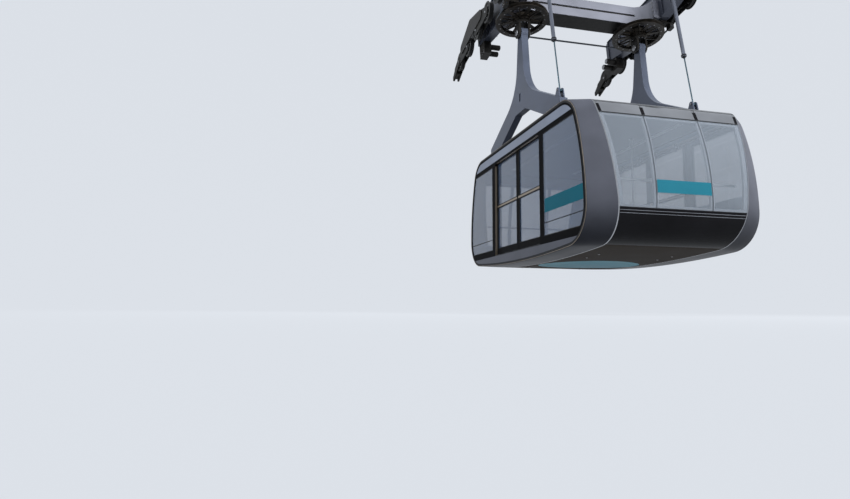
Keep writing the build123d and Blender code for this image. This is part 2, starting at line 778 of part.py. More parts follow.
for side, side_name in ((-1, "right"), (1, "left")):
    for index in range(roller_count):
        s = (index - (roller_count - 1) / 2) * roller_pitch
        centre = carriage_point(s, side * rope_gauge / 2, roller_n)
        bore = axle_radius + pin_running_gap
        with BuildPart() as roller:
            with BuildSketch(Plane(origin=centre, x_dir=upward, z_dir=uphill)):
                with BuildLine():
                    Polyline((bore, -roller_width / 2), (roller_flange_radius, -roller_width / 2),
                             (roller_flange_radius, -groove_mouth / 2),
                             (roller_tread_radius, -groove_floor / 2),
                             (roller_tread_radius, groove_floor / 2),
                             (roller_flange_radius, groove_mouth / 2),
                             (roller_flange_radius, roller_width / 2), (bore, roller_width / 2),
                             close=True)
                make_face()
            revolve(axis=Axis(centre, (0, 1, 0)))
        finish(roller.part, f"roller_{side_name}_{index + 1}")

# Rope keepers: curved fingers over the track rope at both ends of each roller train
keeper_s = (roller_count - 1) / 2 * roller_pitch
keeper_root_s = keeper_tip_s - keeper_length
slot_half = track_rope_radius + rope_clearance
slot_bottom = -4 * track_rope_radius
with BuildPart() as rope_keepers:
    for side in (-1, 1):
        rope_y = side * rope_gauge / 2
        for end in (-1, 1):
            arm_y = cheek_y + cheek_plate
            for inner in (arm_y, -arm_y - keeper_plate):
                with BuildSketch(carriage_side(rope_y + inner + keeper_plate)):
                    with Locations((end * keeper_s, roller_n),
                                   (end * keeper_root_s, keeper_root_n)):
                        Circle(keeper_boss_radius)
                    make_hull()
                extrude(amount=keeper_plate)
            with BuildSketch(carriage_side(rope_y + arm_y + keeper_plate)):
                with BuildLine():
                    Polyline((end * keeper_root_s, keeper_root_n + keeper_boss_radius),
                             (end * keeper_tip_s, keeper_tip_n),
                             (end * keeper_tip_s, -track_rope_radius),
                             (end * keeper_root_s, keeper_root_n - keeper_boss_radius),
                             close=True)
                make_face()
            extrude(amount=2 * (arm_y + keeper_plate))
            with BuildSketch(carriage_side(rope_y + slot_half)):
                with BuildLine():
                    Polyline((end * keeper_s, slot_bottom), (end * keeper_s, slot_half),
                             (end * 2 * keeper_tip_s, slot_half), (end * 2 * keeper_tip_s, slot_bottom),
                             close=True)
                make_face()
            extrude(amount=2 * slot_half, mode=Mode.SUBTRACT)
finish(rope_keepers.part, "rope_keepers")

# Pivot forks: hollow-shaft posts through the haul sheaves that end in a fork for each hanger
crown_top = sheave_n - sheave_hub_width / 2 - seat_gap
crown_bottom = crown_top - crown_height
hub_top = sheave_n + sheave_hub_width / 2 + seat_gap
fork_inner = hanger_thickness / 2 + fork_gap
with BuildPart() as pivot_forks:
    for side in (-1, 1):
        y = side * hanger_y
        for low, high, radius in ((crown_bottom, crown_top, crown_radius),
                                  (crown_top, cross_beam_n[0], post_radius),
                                  (hub_top, cross_beam_n[0], crown_radius)):
            with BuildSketch(carriage_deck(low)):
                with Locations((0, y)):
                    Circle(radius)
            extrude(amount=high - low)
        for inner in (fork_inner, -fork_inner - fork_plate):
            with BuildSketch(carriage_side(y + inner + fork_plate)):
                with Locations((0, (crown_bottom - pivot_drop) / 2)):
                    Rectangle(2 * fork_half_width, pivot_drop + crown_bottom)
                with Locations((0, -pivot_drop)):
                    Circle(fork_half_width)
                    Circle(pin_radius + pin_running_gap, mode=Mode.SUBTRACT)
            extrude(amount=fork_plate)
finish(pivot_forks.part, "pivot_forks")

# Pins on the carriage: the hanger pivots, and the dampers' upper pins in the side beams
pin_reach = fork_inner + fork_plate + pin_head
damper_s = (top_x - carriage_origin[0]) * uphill[0] + (top_z - carriage_origin[2]) * uphill[2]
damper_n = (top_x - carriage_origin[0]) * upward[0] + (top_z - carriage_origin[2]) * upward[2]
with BuildPart() as carriage_pins:
    for side in (-1, 1):
        y = side * hanger_y
        with BuildSketch(side_plane(y + pin_reach)):
            with Locations((0, pivot_z)):
                Circle(pin_radius)
        extrude(amount=2 * pin_reach)
        damper_span = side_span(side, hanger_y - damper_top_width / 2 - pin_head, side_beam_y[0])
        with BuildSketch(carriage_side(damper_span[1])):
            with Locations((damper_s, damper_n)):
                Circle(damper_pin_radius)
        extrude(amount=damper_span[1] - damper_span[0])
finish(carriage_pins.part, "carriage_pins")

# Haul sheaves: grooved rim, spoked web and hub on each post
groove_bottom = sheave_pitch_radius - haul_rope_radius - rope_groove_gap
sheave_bore = post_radius + pin_running_gap
sheave_profile = (
    (sheave_bore, -sheave_hub_width / 2), (sheave_hub_radius, -sheave_hub_width / 2),
    (sheave_hub_radius, -sheave_web / 2), (sheave_rim_inner, -sheave_web / 2),
    (sheave_rim_inner, -sheave_rim_width / 2), (sheave_rim_outer, -sheave_rim_width / 2),
    (sheave_rim_outer, -sheave_mouth / 2), (groove_bottom, -sheave_groove_floor / 2),
)
sheave_profile += tuple((r, -n) for r, n in reversed(sheave_profile))
for side, name in ((-1, "sheave_right"), (1, "sheave_left")):
    centre = carriage_point(0, side * hanger_y, sheave_n)
    with BuildPart() as sheave:
        with BuildSketch(Plane(origin=centre, x_dir=uphill, z_dir=(0, -1, 0))):
            with BuildLine():
                Polyline(*sheave_profile, close=True)
            make_face()
        revolve(axis=Axis(centre, upward))
        with BuildSketch(Plane(origin=centre, x_dir=uphill, z_dir=upward)):
            Circle(sheave_rim_inner - spoke_edge)
            Circle(sheave_hub_radius + spoke_edge, mode=Mode.SUBTRACT)
            with PolarLocations(sheave_rim_inner / 2, spoke_count):
                Rectangle(sheave_rim_inner, spoke_width, mode=Mode.SUBTRACT)
        extrude(amount=sheave_web, both=True, mode=Mode.SUBTRACT)
    finish(sheave.part, name)

# Haul rope: round both sheaves and straight across between them, ending in its guides
rope_y = hanger_y + sheave_pitch_radius
with BuildPart() as haul_rope:
    with BuildLine(carriage_deck(sheave_n)):
        Line((guide_s[1], -rope_y), (0, -rope_y))
        RadiusArc((0, -rope_y), (-sheave_pitch_radius, -hanger_y), sheave_pitch_radius)
        Line((-sheave_pitch_radius, -hanger_y), (-sheave_pitch_radius, hanger_y))
        RadiusArc((-sheave_pitch_radius, hanger_y), (0, rope_y), sheave_pitch_radius)
        Line((0, rope_y), (guide_s[1], rope_y))
    rope_start = carriage_point(guide_s[1], -rope_y, sheave_n)
    with BuildSketch(Plane(origin=rope_start, x_dir=(0, 1, 0), z_dir=uphill)):
        Circle(haul_rope_radius)
    sweep()
finish(haul_rope.part, "haul_rope")

# Haul-rope guides under the side beams
guide_top = sheave_n + sheave_rim_width / 2 + cheek_gap
with BuildPart() as rope_guides:
    for side in (-1, 1):
        block = side_span(side, rope_y - guide_half, rope_y + guide_half)
        arm = side_span(side, side_beam_y[0] + guide_half, rope_y + guide_half)
        stem = side_span(side, side_beam_y[0] + guide_half, side_beam_y[1])
        for span, low, high in ((block, sheave_n - guide_half, guide_top),
                                (arm, guide_top, guide_top + guide_arm),
                                (stem, guide_top + guide_arm, cross_beam_n[0])):
            with BuildSketch(carriage_side(span[1])):
                with Locations(((guide_s[0] + guide_s[1]) / 2, (low + high) / 2)):
                    Rectangle(guide_s[1] - guide_s[0], high - low)
            extrude(amount=span[1] - span[0])
        with BuildSketch(Plane(origin=carriage_point(guide_s[0], side * rope_y, sheave_n),
                               x_dir=(0, 1, 0), z_dir=uphill)):
            Circle(haul_rope_radius + seat_gap)
        extrude(amount=guide_s[1] - guide_s[0], mode=Mode.SUBTRACT)
finish(rope_guides.part, "rope_guides")

# Lower haul-rope anchors: a block under each side beam with two clamping drums and a bore
with BuildPart() as rope_anchors:
    for side in (-1, 1):
        span = side_span(side, side_beam_y[0] + anchor_set_in, side_beam_y[1] - anchor_set_in)
        with BuildSketch(carriage_side(span[1])):
            with BuildLine():
                Polyline((anchor_s[0], anchor_n), (anchor_s[1], anchor_n),
                         (anchor_s[1], beam_underside(anchor_s[1])),
                         (anchor_s[0], beam_underside(anchor_s[0])), close=True)
            make_face()
        extrude(amount=span[1] - span[0])
        drum_span = side_span(side, side_beam_y[0] - drum_length, side_beam_y[0] + anchor_set_in)
        with BuildSketch(carriage_side(drum_span[1])):
            with Locations(*drum_places):
                Circle(drum_radius)
        extrude(amount=drum_span[1] - drum_span[0])
        bore_mouth = carriage_point(anchor_s[0], side * sum(side_beam_y) / 2, anchor_bore_n)
        with BuildSketch(Plane(origin=bore_mouth, x_dir=(0, 1, 0), z_dir=uphill)):
            Circle(haul_rope_radius + rope_groove_gap)
        extrude(amount=anchor_bore_length, mode=Mode.SUBTRACT)
finish(rope_anchors.part, "rope_anchors")
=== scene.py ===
"""Dressed cable car cabin in a plain studio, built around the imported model."""
import math

import bmesh
import bpy
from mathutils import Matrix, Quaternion, Vector


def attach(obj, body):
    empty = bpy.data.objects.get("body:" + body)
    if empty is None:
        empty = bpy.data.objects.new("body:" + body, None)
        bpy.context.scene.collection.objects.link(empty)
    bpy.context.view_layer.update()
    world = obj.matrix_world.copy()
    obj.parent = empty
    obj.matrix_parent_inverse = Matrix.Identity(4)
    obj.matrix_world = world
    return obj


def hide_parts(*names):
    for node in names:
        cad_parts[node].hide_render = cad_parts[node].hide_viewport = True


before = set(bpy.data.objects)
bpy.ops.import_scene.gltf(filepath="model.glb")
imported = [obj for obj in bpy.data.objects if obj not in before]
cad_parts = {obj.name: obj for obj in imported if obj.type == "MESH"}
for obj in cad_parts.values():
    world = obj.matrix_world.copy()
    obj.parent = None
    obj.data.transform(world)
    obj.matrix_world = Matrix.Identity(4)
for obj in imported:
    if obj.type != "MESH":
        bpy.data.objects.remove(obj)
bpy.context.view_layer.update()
scene = bpy.context.scene

SIDES = (("right", -1), ("left", 1))
ENDS = (("front", 1), ("rear", -1))
finishes = {}

# Cabin outlines, in metres over the cabin's base, and the leaning joints of the rings with the body
cabin_base = -5.030
side_y = 1.520
body_y = 1.158
joint_z = 1.200
joint_lean = 5.6
joint_clearance = 0.001
side_outline = {"half_length": 2.686, "waist_z": 0.713, "bilge_r": 0.605, "bow": 4.5,
                "side_r": 4.168, "shoulder_z": 2.155, "top_z": 2.506}
body_outline = {"half_length": 2.891, "waist_z": 0.771, "bilge_r": 0.659, "bow": 5.07,
                "side_r": 3.550, "shoulder_z": 2.270, "top_z": 2.400}
ring_wall = 0.040
shell_wall = 0.050

# Heights over the cabin's base, and places along and across it
floor_z = 0.245
end_sill_z = 0.631
end_head_z = 2.129
eave_z = 2.330
pane_seam_y = 0.486
pane_joint = 0.008
pillar_x = 1.240
door_half_opening = 1.090
door_opening_z = (0.262, 2.210)
door_corner = 0.045
window_z = (0.378, 2.175)
window_inset = 0.085
side_glass_y = 1.514
wall_inner_y = 1.470
leaf_y = (1.425, 1.460)
leaf_x = (0.003, 1.130)
leaf_stile = 0.062
leaf_glass_z = ((0.405, 1.268), (1.318, 2.205))
leaf_z = (0.252, 2.245)
pole_places = ((0.9, 0.45), (0.9, -0.45), (-0.9, 0.45), (-0.9, -0.45))
ceiling_z = 2.350
end_rail = (2.650, 1.100)

# Hangers, dampers and carriage
hanger_y = 1.320
hanger_half = 0.070
hanger_foot_z = 2.540
hanger_foot_x = (1.150, 1.660)
hanger_slot = (-0.020, 3.300)
slot_size = (0.045, 0.165)
damper_eye = (1.530, 2.860)
damper_top = (1.050, 5.400)
rope_slope = 8
pivot_drop = 0.410
rope_y = 1.900
roller_count = 8
roller_pitch = 0.620
roller_n = 0.217
cheek_y = (0.050, 0.064)
rocker_pin_n = 0.360
main_pin_n = 0.520
rocker_plate_y = (0.069, 0.085)
side_beam_y = (1.520, 1.720)
side_beam_half_length = 1.480
side_beam_top = 0.680
side_beam_taper_s = 0.550
side_beam_tip_n = 0.200
cross_beam_half = 0.200
cross_beam_n = (0.010, 0.420)
sheave_n = -0.100
sheave_radius = 0.500
haul_rope_radius = 0.018
rope_end_s = 0.450

# Photograph: the camera's place, heading, rise and roll, and its field of view
camera_place = (10.194, -5.784, -5.916)
camera_heading = 166.305
camera_rise = 6.035
camera_roll = 0.365
focal_pixels = 575.0
picture_width = 850
sensor_width = 36.0
floor_below_camera = 0.06

# The carriage frame leans with the rope: s along it, n square over the rope line
lean = math.radians(rope_slope)
uphill = Vector((math.cos(lean), 0, math.sin(lean)))
upward = Vector((-math.sin(lean), 0, math.cos(lean)))
pivot = Vector((0, 0, -pivot_drop / math.cos(lean)))
across = Vector((0, 1, 0))


def on_carriage(s, y, n):
    """Point s along the rope, y across and n over the rope line."""
    return pivot + uphill * s + across * y + upward * (n + pivot_drop)


def in_cabin(x, y, height):
    """Point at a height over the cabin's base."""
    return Vector((x, y, cabin_base + height))


def in_scene(name, data):
    """Scene object of a mesh, a camera or a lamp."""
    made = bpy.data.objects.new(name, data)
    scene.collection.objects.link(made)
    return made


class Shape:
    """Closed forms gathered into one mesh, placed as the vehicle stands at rest."""

    def __init__(self):
        self.points = []
        self.faces = []

    def loft(self, rings, closed=False):
        """Skin over rings with as many points each, capped at both ends unless it runs round."""
        start = len(self.points)
        count = len(rings[0])
        for ring in rings:
            self.points.extend(tuple(point) for point in ring)
        for i in range(len(rings) if closed else len(rings) - 1):
            low = start + i * count
            high = start + (i + 1) % len(rings) * count
            for j in range(count):
                k = (j + 1) % count
                self.faces.append((low + j, low + k, high + k, high + j))
        if not closed:
            self.faces.append(tuple(reversed(range(start, start + count))))
            self.faces.append(tuple(range(start + (len(rings) - 1) * count, start + len(rings) * count)))

    def box(self, corner, opposite, place=in_cabin):
        """Block between two opposite corners, in the cabin or placed by another function."""
        (low_x, high_x), (low_y, high_y), (low_z, high_z) = (sorted(pair) for pair in zip(corner, opposite))
        self.loft([[place(x, low_y, low_z), place(x, high_y, low_z),
                    place(x, high_y, high_z), place(x, low_y, high_z)] for x in (low_x, high_x)])

    def prism(self, corners, depth):
        """Flat outline of points drawn out along the vector depth."""
        far = [Vector(corner) + Vector(depth) for corner in corners]
        self.loft([corners, far])

    def turned(self, profile, place, axis, segments=24, hollow=False):
        """Turned piece: radius and reach pairs round an axis; a hollow one has a closed profile."""
        beside, over = cross_axes(axis)
        axis = Vector(axis).normalized()
        sections = []
        for turn in full_turn(segments):
            spoke = around(beside, over, turn)
            sections.append([Vector(place) + spoke * r + axis * h for r, h in profile])
        if hollow:
            self.loft(sections, closed=True)
        else:
            self.loft(list(zip(*sections)))

    def border(self, loop, y_out, y_in, width):
        """Flat strip inside a closed outline of (x, z) points, between two values of y."""
        sections = []
        for (x, z), (in_x, in_z) in zip(loop, drawn_in(loop, width)):
            sections.append([(x, y_out, z), (in_x, y_out, in_z), (in_x, y_in, in_z), (x, y_in, z)])
        self.loft(sections, closed=True)

    def bar(self, start, end, out, thickness):
        """Flat bar on edge from start to end, standing out from a face by the vector out."""
        aside = (Vector(end) - Vector(start)).normalized().cross(Vector(out)).normalized() * thickness
        corners = [Vector(start) - aside / 2, Vector(end) - aside / 2,
                   Vector(end) + aside / 2, Vector(start) + aside / 2]
        self.prism(corners, out)

    def tube(self, points, radius, segments=12):
        """Round bar bent in one plane through points, mitred at its corners."""
        points = [Vector(point) for point in points]
        square = (points[1] - points[0]).cross(points[-1] - points[1]).normalized()
        sections = []
        for i, point in enumerate(points):
            before, after = points[max(i - 1, 0)], points[min(i + 1, len(points) - 1)]
            steps = [step.normalized() for step in (point - before, after - point) if step.length]
            ahead = sum(steps, Vector()).normalized()
            stretched = ahead.cross(square) / steps[0].dot(ahead)
            sections.append([point + around(square, stretched, turn) * radius
                             for turn in full_turn(segments)])
        self.loft(sections)

    def end_patch(self, x_sign, y_range, z_range, out, depth, step=0.04):
        """Strip on the curved end, between two values of y or those that a function gives for a height."""
        sections = []
        for height in spaced(*z_range, max(2, round((z_range[1] - z_range[0]) / step))):
            low_y, high_y = y_range(height) if callable(y_range) else y_range
            x, z = body_x(height), cabin_base + height
            sections.append([(x_sign * (x + out), low_y, z), (x_sign * (x + out), high_y, z),
                             (x_sign * (x + depth), high_y, z), (x_sign * (x + depth), low_y, z)])
        self.loft(sections)

    def bolt(self, place, axis, across_flats, head=None):
        """Hexagon head on a washer, sized by its width across flats."""
        head = head or across_flats * 0.45
        washer = across_flats * 0.12
        self.turned([(across_flats * 0.62, 0), (across_flats * 0.62, washer)], place, axis, 16)
        self.turned([(across_flats * 0.56, washer), (across_flats * 0.56, head * 0.8),
                     (across_flats * 0.47, head)], place, axis, 6)

    def bolts(self, places, out, across_flats, head=None):
        """Bolts at several places, with their heads along out."""
        for place in places:
            self.bolt(place, out, across_flats, head)

    def bolt_circle(self, centre, radius, axes, turns, out, across_flats, head=None):
        """Bolts round a centre at turns between two axes."""
        self.bolts([centre + around(*axes, turn) * radius for turn in turns], out, across_flats, head)

    def piece(self, name, finish, body="cabin", slot_name=None, edge=0.0, sharp=35, smooth=True):
        """Scene object of the mesh, with its edges softened, riding on a body."""
        mesh = bpy.data.meshes.new(name)
        mesh.from_pydata([tuple(point) for point in self.points], [], self.faces)
        work = bmesh.new()
        work.from_mesh(mesh)
        bmesh.ops.recalc_face_normals(work, faces=work.faces)
        work.to_mesh(mesh)
        work.free()
        made = in_scene(name, mesh)
        mesh.materials.append(finishes[finish])
        if smooth:
            mesh.shade_smooth()
            mesh.set_sharp_from_angle(angle=math.radians(sharp))
        if edge:
            soften = made.modifiers.new("soft_edges", "BEVEL")
            soften.width = edge
            soften.segments = 2
            soften.limit_method = "ANGLE"
            soften.angle_limit = math.radians(40)
            soften.harden_normals = True
        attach(made, body)
        return made


def shapes(count):
    """Empty shapes."""
    return [Shape() for _ in range(count)]


def lofted(sections, closed=True):
    """Shape of one skin."""
    made = Shape()
    made.loft(sections, closed)
    return made


def full_turn(segments, start=0.0):
    """Angles round a circle, from a first one."""
    return [start + math.tau * i / segments for i in range(segments)]


def around(first, second, turn):
    """Vector turned from a first axis towards a second one."""
    return first * math.cos(turn) + second * math.sin(turn)


def cross_axes(axis):
    """Two unit vectors square to an axis and to each other."""
    axis = Vector(axis).normalized()
    helper = Vector((0, 0, 1)) if abs(axis.z) < 0.9 else Vector((1, 0, 0))
    beside = axis.cross(helper).normalized()
    return beside, axis.cross(beside)


def outline_arcs(half_length, waist_z, bilge_r, bow, side_r, shoulder_z, top_z):
    """Arcs of the outline's +X half from keel to roof: centre x and z, radius, first and last turn."""
    lean = math.asin((shoulder_z - waist_z) / side_r)
    side_x = half_length - side_r
    roof_r = (top_z - shoulder_z) / (1 - math.sin(lean))
    bilge_x = half_length - bilge_r
    heel = math.radians(bow - 90)
    keel_r = bilge_x / math.sin(math.radians(bow)) + bilge_r
    return (
        (0, waist_z + bilge_x / math.tan(math.radians(bow)), keel_r, -math.pi / 2, heel),
        (bilge_x, waist_z, bilge_r, heel, 0),
        (side_x, waist_z, side_r, 0, lean),
        (side_x + (side_r - roof_r) * math.cos(lean), top_z - roof_r, roof_r, lean, math.pi / 2),
    )


def full_outline(sizes, steps=(16, 14, 18, 10)):
    """Points with their outward normals, as (x, z, nx, nz), counter-clockwise from the keel."""
    right = []
    for (cx, cz, radius, first, last), count in zip(outline_arcs(**sizes), steps):
        for turn in spaced(first, last, count)[:-1]:
            nx, nz = math.cos(turn), math.sin(turn)
            right.append((cx + radius * nx, cabin_base + cz + radius * nz, nx, nz))
    right.append((cx, cabin_base + cz + radius, 0.0, 1.0))
    left = [(-x, z, -nx, nz) for x, z, nx, nz in reversed(right)]
    return right + left[:-1]


def body_x(height):
    """X of the body outline's end at a height over the cabin's base."""
    for centre_x, centre_z, radius, _, last in outline_arcs(**body_outline)[1:]:
        if height <= centre_z + radius * math.sin(last):
            break
    return centre_x + math.sqrt(radius ** 2 - (height - centre_z) ** 2)


def keel_height(x):
    """Height of the hull's keel over the cabin's base at a distance from the middle."""
    centre_z, radius = outline_arcs(**body_outline)[0][1:3]
    return centre_z - math.sqrt(radius ** 2 - x ** 2)


def joint_y(height):
    """Distance from the middle to a leaning joint at a height over the base."""
    return body_y + (height - joint_z) * math.tan(math.radians(joint_lean))


def whole_end(height):
    """Both edges of an end at a height over the base, just inside the leaning joints."""
    reach = joint_y(height) - joint_clearance
    return -reach, reach


def side_inset(inset):
    """The door side's outline drawn in by inset, as (x, z) points."""
    return [(x - nx * inset, z - nz * inset) for x, z, nx, nz in full_outline(side_outline)]


def clipped(points, x_range, z_range, least=0.0005):
    """Closed outline of (x, z) points cut to a range of x and of height over the base."""
    for axis, limit, way in ((0, x_range[0], 1), (0, x_range[1], -1),
                             (1, cabin_base + z_range[0], 1), (1, cabin_base + z_range[1], -1)):
        kept = []
        for here, after in zip(points, points[1:] + points[:1]):
            inside, next_inside = way * (here[axis] - limit) > 0, way * (after[axis] - limit) > 0
            if inside:
                kept.append(here)
            if inside != next_inside:
                part = (limit - here[axis]) / (after[axis] - here[axis])
                kept.append((here[0] + (after[0] - here[0]) * part, here[1] + (after[1] - here[1]) * part))
        points = kept
    return [here for here, after in zip(points, points[1:] + points[:1]) if math.dist(here, after) > least]


def drawn_in(loop, distance):
    """Closed outline of (x, z) points moved inwards, with mitred corners."""
    area = sum(a[0] * b[1] - b[0] * a[1] for a, b in zip(loop, loop[1:] + loop[:1]))
    moved = []
    for before, here, after in zip(loop[-1:] + loop[:-1], loop, loop[1:] + loop[:1]):
        first = Vector((here[0] - before[0], here[1] - before[1])).normalized()
        second = Vector((after[0] - here[0], after[1] - here[1])).normalized()
        normal = Vector((-first.y - second.y, first.x + second.x)) * math.copysign(1, area)
        normal = normal / (1 + first.dot(second))
        moved.append((here[0] + normal.x * distance, here[1] + normal.y * distance))
    return moved


def slot_outline(middle, width, length, steps=16):
    """Upright slot with round ends about (x, height), as (x, z) points."""
    radius = width / 2
    found = []
    for turn in full_turn(steps, math.pi / steps):
        shift = math.copysign(length / 2 - radius, math.sin(turn))
        z = cabin_base + middle[1] + shift + radius * math.sin(turn)
        found.append((middle[0] + radius * math.cos(turn), z))
    return found


def beam_underside(s):
    """Height of a side beam's lower edge at s along the rope."""
    reach = max(abs(s) - side_beam_taper_s, 0) / (side_beam_half_length - side_beam_taper_s)
    return cross_beam_n[0] + reach * (side_beam_tip_n - cross_beam_n[0])


def rope_path(straight_steps=40, bend_steps=80, crossing_steps=260):
    """Middle line of the haul rope: from one guide round both sheaves to the other guide."""
    run_y = hanger_y + sheave_radius
    half = [(s, run_y) for s in spaced(rope_end_s, 0, straight_steps)[:-1]]
    for turn in spaced(0, math.pi / 2, bend_steps)[:-1]:
        half.append((-sheave_radius * math.sin(turn), hanger_y + sheave_radius * math.cos(turn)))
    crossing = [(-sheave_radius, y) for y in spaced(-hanger_y, hanger_y, crossing_steps)]
    whole = [(s, -y) for s, y in half] + crossing + half[::-1]
    return [on_carriage(s, y, sheave_n) for s, y in whole]


def spaced(low, high, count):
    """Evenly spaced values from low to high."""
    return [low + (high - low) * i / count for i in range(count + 1)]


def node(tree, kind, inputs=None, **settings):
    """Shader node with its settings; an input is given its value or the socket that feeds it."""
    made = tree.nodes.new("ShaderNode" + kind)
    for setting, value in settings.items():
        setattr(made, setting, value)
    for socket, value in (inputs or {}).items():
        if isinstance(value, bpy.types.NodeSocket):
            tree.links.new(value, made.inputs[socket])
        else:
            made.inputs[socket].default_value = value
    return made


def material(name):
    """Empty node material, with its tree."""
    made = bpy.data.materials.new(name)
    made.use_nodes = True
    made.node_tree.nodes.clear()
    return made, made.node_tree


def noise(tree, scale, detail):
    """Value of a noise in object coordinates, at a scale in features per metre."""
    places = node(tree, "TexCoord").outputs["Object"]
    mapped = node(tree, "Mapping", {"Vector": places, "Scale": scale}).outputs["Vector"]
    return node(tree, "TexNoise", {"Vector": mapped, "Scale": 1.0, "Detail": detail}).outputs["Fac"]


def ramp(tree, source, low, high, low_at, high_at):
    """Colour ramp from low to high colours over a noise's value."""
    made = node(tree, "ValToRGB", {"Fac": source})
    for stop, position, colour in zip(made.color_ramp.elements, (low_at, high_at), (low, high)):
        stop.position = position
        stop.color = (*colour, 1)
    return made.outputs["Color"]


def tinted(colour, factor):
    """Colour made lighter or darker by a factor."""
    return tuple(min(1.0, value * factor) for value in colour)


def shaded_towards_bottom(tree, colour, unshaded_z, darkest_z, share):
    """Painted shade: colour that darkens to a share of itself, from an upper height down to a lower one."""
    places = node(tree, "TexCoord").outputs["Object"]
    height = node(tree, "SeparateXYZ", {"Vector": places}).outputs["Z"]
    kept = node(tree, "MapRange", {"Value": height, "From Min": darkest_z, "From Max": unshaded_z,
                                   "To Min": share, "To Max": 1.0}, interpolation_type="SMOOTHSTEP")
    scaled = node(tree, "VectorMath", {0: colour, "Scale": kept.outputs["Result"]}, operation="SCALE")
    return scaled.outputs["Vector"]


def surface(name, colour, clouds, shades, relief, sockets, grain=None, wear=None, bottom_shade=None,
            shades_at=(0.3, 0.7)):
    """Finish whose noise, clouds, varies its colour between two shades and its roughness over wear.

    A noise is a scale and a detail, relief a strength and a depth; grain is a second noise for the relief.
    """
    made, tree = material(name)
    pattern = noise(tree, *clouds)
    coloured = ramp(tree, pattern, *(tinted(colour, shade) for shade in shades), *shades_at)
    # Painted shade: the colour darkens towards the bottom
    if bottom_shade:
        coloured = shaded_towards_bottom(tree, coloured, *bottom_shade)
    height = noise(tree, *grain) if grain else pattern
    bump = node(tree, "Bump", {"Strength": relief[0], "Distance": relief[1], "Height": height})
    sockets = {**sockets, "Base Color": coloured, "Normal": bump.outputs["Normal"]}
    if wear:
        worn = node(tree, "MapRange", {"Value": pattern, "To Min": wear[0], "To Max": wear[1]})
        sockets["Roughness"] = worn.outputs["Result"]
    shader = node(tree, "BsdfPrincipled", sockets)
    node(tree, "OutputMaterial", {"Surface": shader.outputs["BSDF"]})
    finishes[name] = made


def paint(name, colour, roughness, metallic=0.0, coat=0.0, variation=0.12, specular=0.5, bottom_shade=None):
    """Sprayed paint: faint cloudy variation, fine orange peel, roughness that wanders, and where given
    painted shade towards the bottom.
    """
    surface(name, colour, ((1.7, 1.7, 2.6), 3.0), (1 - variation, 1 + variation), (0.02, 0.0006),
            {"Metallic": metallic, "Coat Weight": coat, "Coat Roughness": 0.08,
             "Specular IOR Level": specular},
            grain=((420, 420, 420), 1.0), wear=(roughness * 0.85, roughness * 1.15), bottom_shade=bottom_shade)


def casting(name, colour, roughness, metallic=0.2):
    """Painted or greased casting: coarse grain, dull patches and darker dirt."""
    surface(name, colour, ((9, 9, 9), 6.0), (0.55, 1.45), (0.25, 0.001),
            {"Metallic": metallic, "Specular IOR Level": 0.25},
            grain=((160, 160, 160), 2.0), wear=(roughness * 0.7, roughness * 1.3),
            shades_at=(0.35, 0.68))


def bare_metal(name, colour, roughness):
    """Machined or drawn metal with fine streaks."""
    surface(name, colour, ((1200, 1200, 120), 2.0), (0.86, 1.1), (0.04, 0.0004),
            {"Metallic": 1.0}, wear=(roughness * 0.7, roughness * 1.4))


def window_glass(name, colour, cover):
    """Tinted glass with a faint waviness; cover is how much each face hides of what is behind it."""
    surface(name, colour, ((1.3, 1.3, 1.3), 1.0), (0.96, 1.04), (0.03, 0.002),
            {"Roughness": 0.03, "Alpha": cover, "Coat Weight": 1.0, "Coat Roughness": 0.02})


def rubber(name, colour, roughness=0.65):
    """Matt rubber with a fine grain."""
    surface(name, colour, ((300, 300, 300), 2.0), (0.8, 1.2), (0.15, 0.0005),
            {"Roughness": roughness, "Specular IOR Level": 0.3})


# Painted shade: the ring's paint darkens towards its bottom, in place of the dark ground's reflection
ring_bottom_shade = (cabin_base + 1.15, cabin_base + 0.02, 0.28)
paint("shell_paint", (0.084, 0.088, 0.106), 0.36, specular=0.03, bottom_shade=ring_bottom_shade)
paint("roof_paint", (0.12, 0.125, 0.135), 0.42, metallic=0.4)
paint("belly_paint", (0.030, 0.024, 0.019), 0.6, specular=0.02)
paint("gloss_black", (0.006, 0.006, 0.007), 0.25, variation=0.2, specular=0.05)
paint("upper_gloss", (0.30, 0.31, 0.33), 0.13, metallic=0.85, coat=0.3)
paint("frame_paint", (0.008, 0.008, 0.0085), 0.45, specular=0.006)
paint("fascia_paint", (0.21, 0.24, 0.31), 0.36, metallic=0.3)
paint("sill_paint", (0.095, 0.10, 0.12), 0.36, metallic=0.1, specular=0.1)
paint("post_paint", (0.16, 0.17, 0.19), 0.4)
paint("door_paint", (0.010, 0.010, 0.0105), 0.45, specular=0.008)
paint("hanger_paint", (0.082, 0.095, 0.130), 0.36, metallic=0.2, specular=0.3)
paint("frame_grey", (0.055, 0.062, 0.085), 0.42, metallic=0.3)
paint("beam_paint", (0.21, 0.215, 0.25), 0.42, metallic=0.1)
paint("damper_paint", (0.115, 0.125, 0.155), 0.34, metallic=0.4)
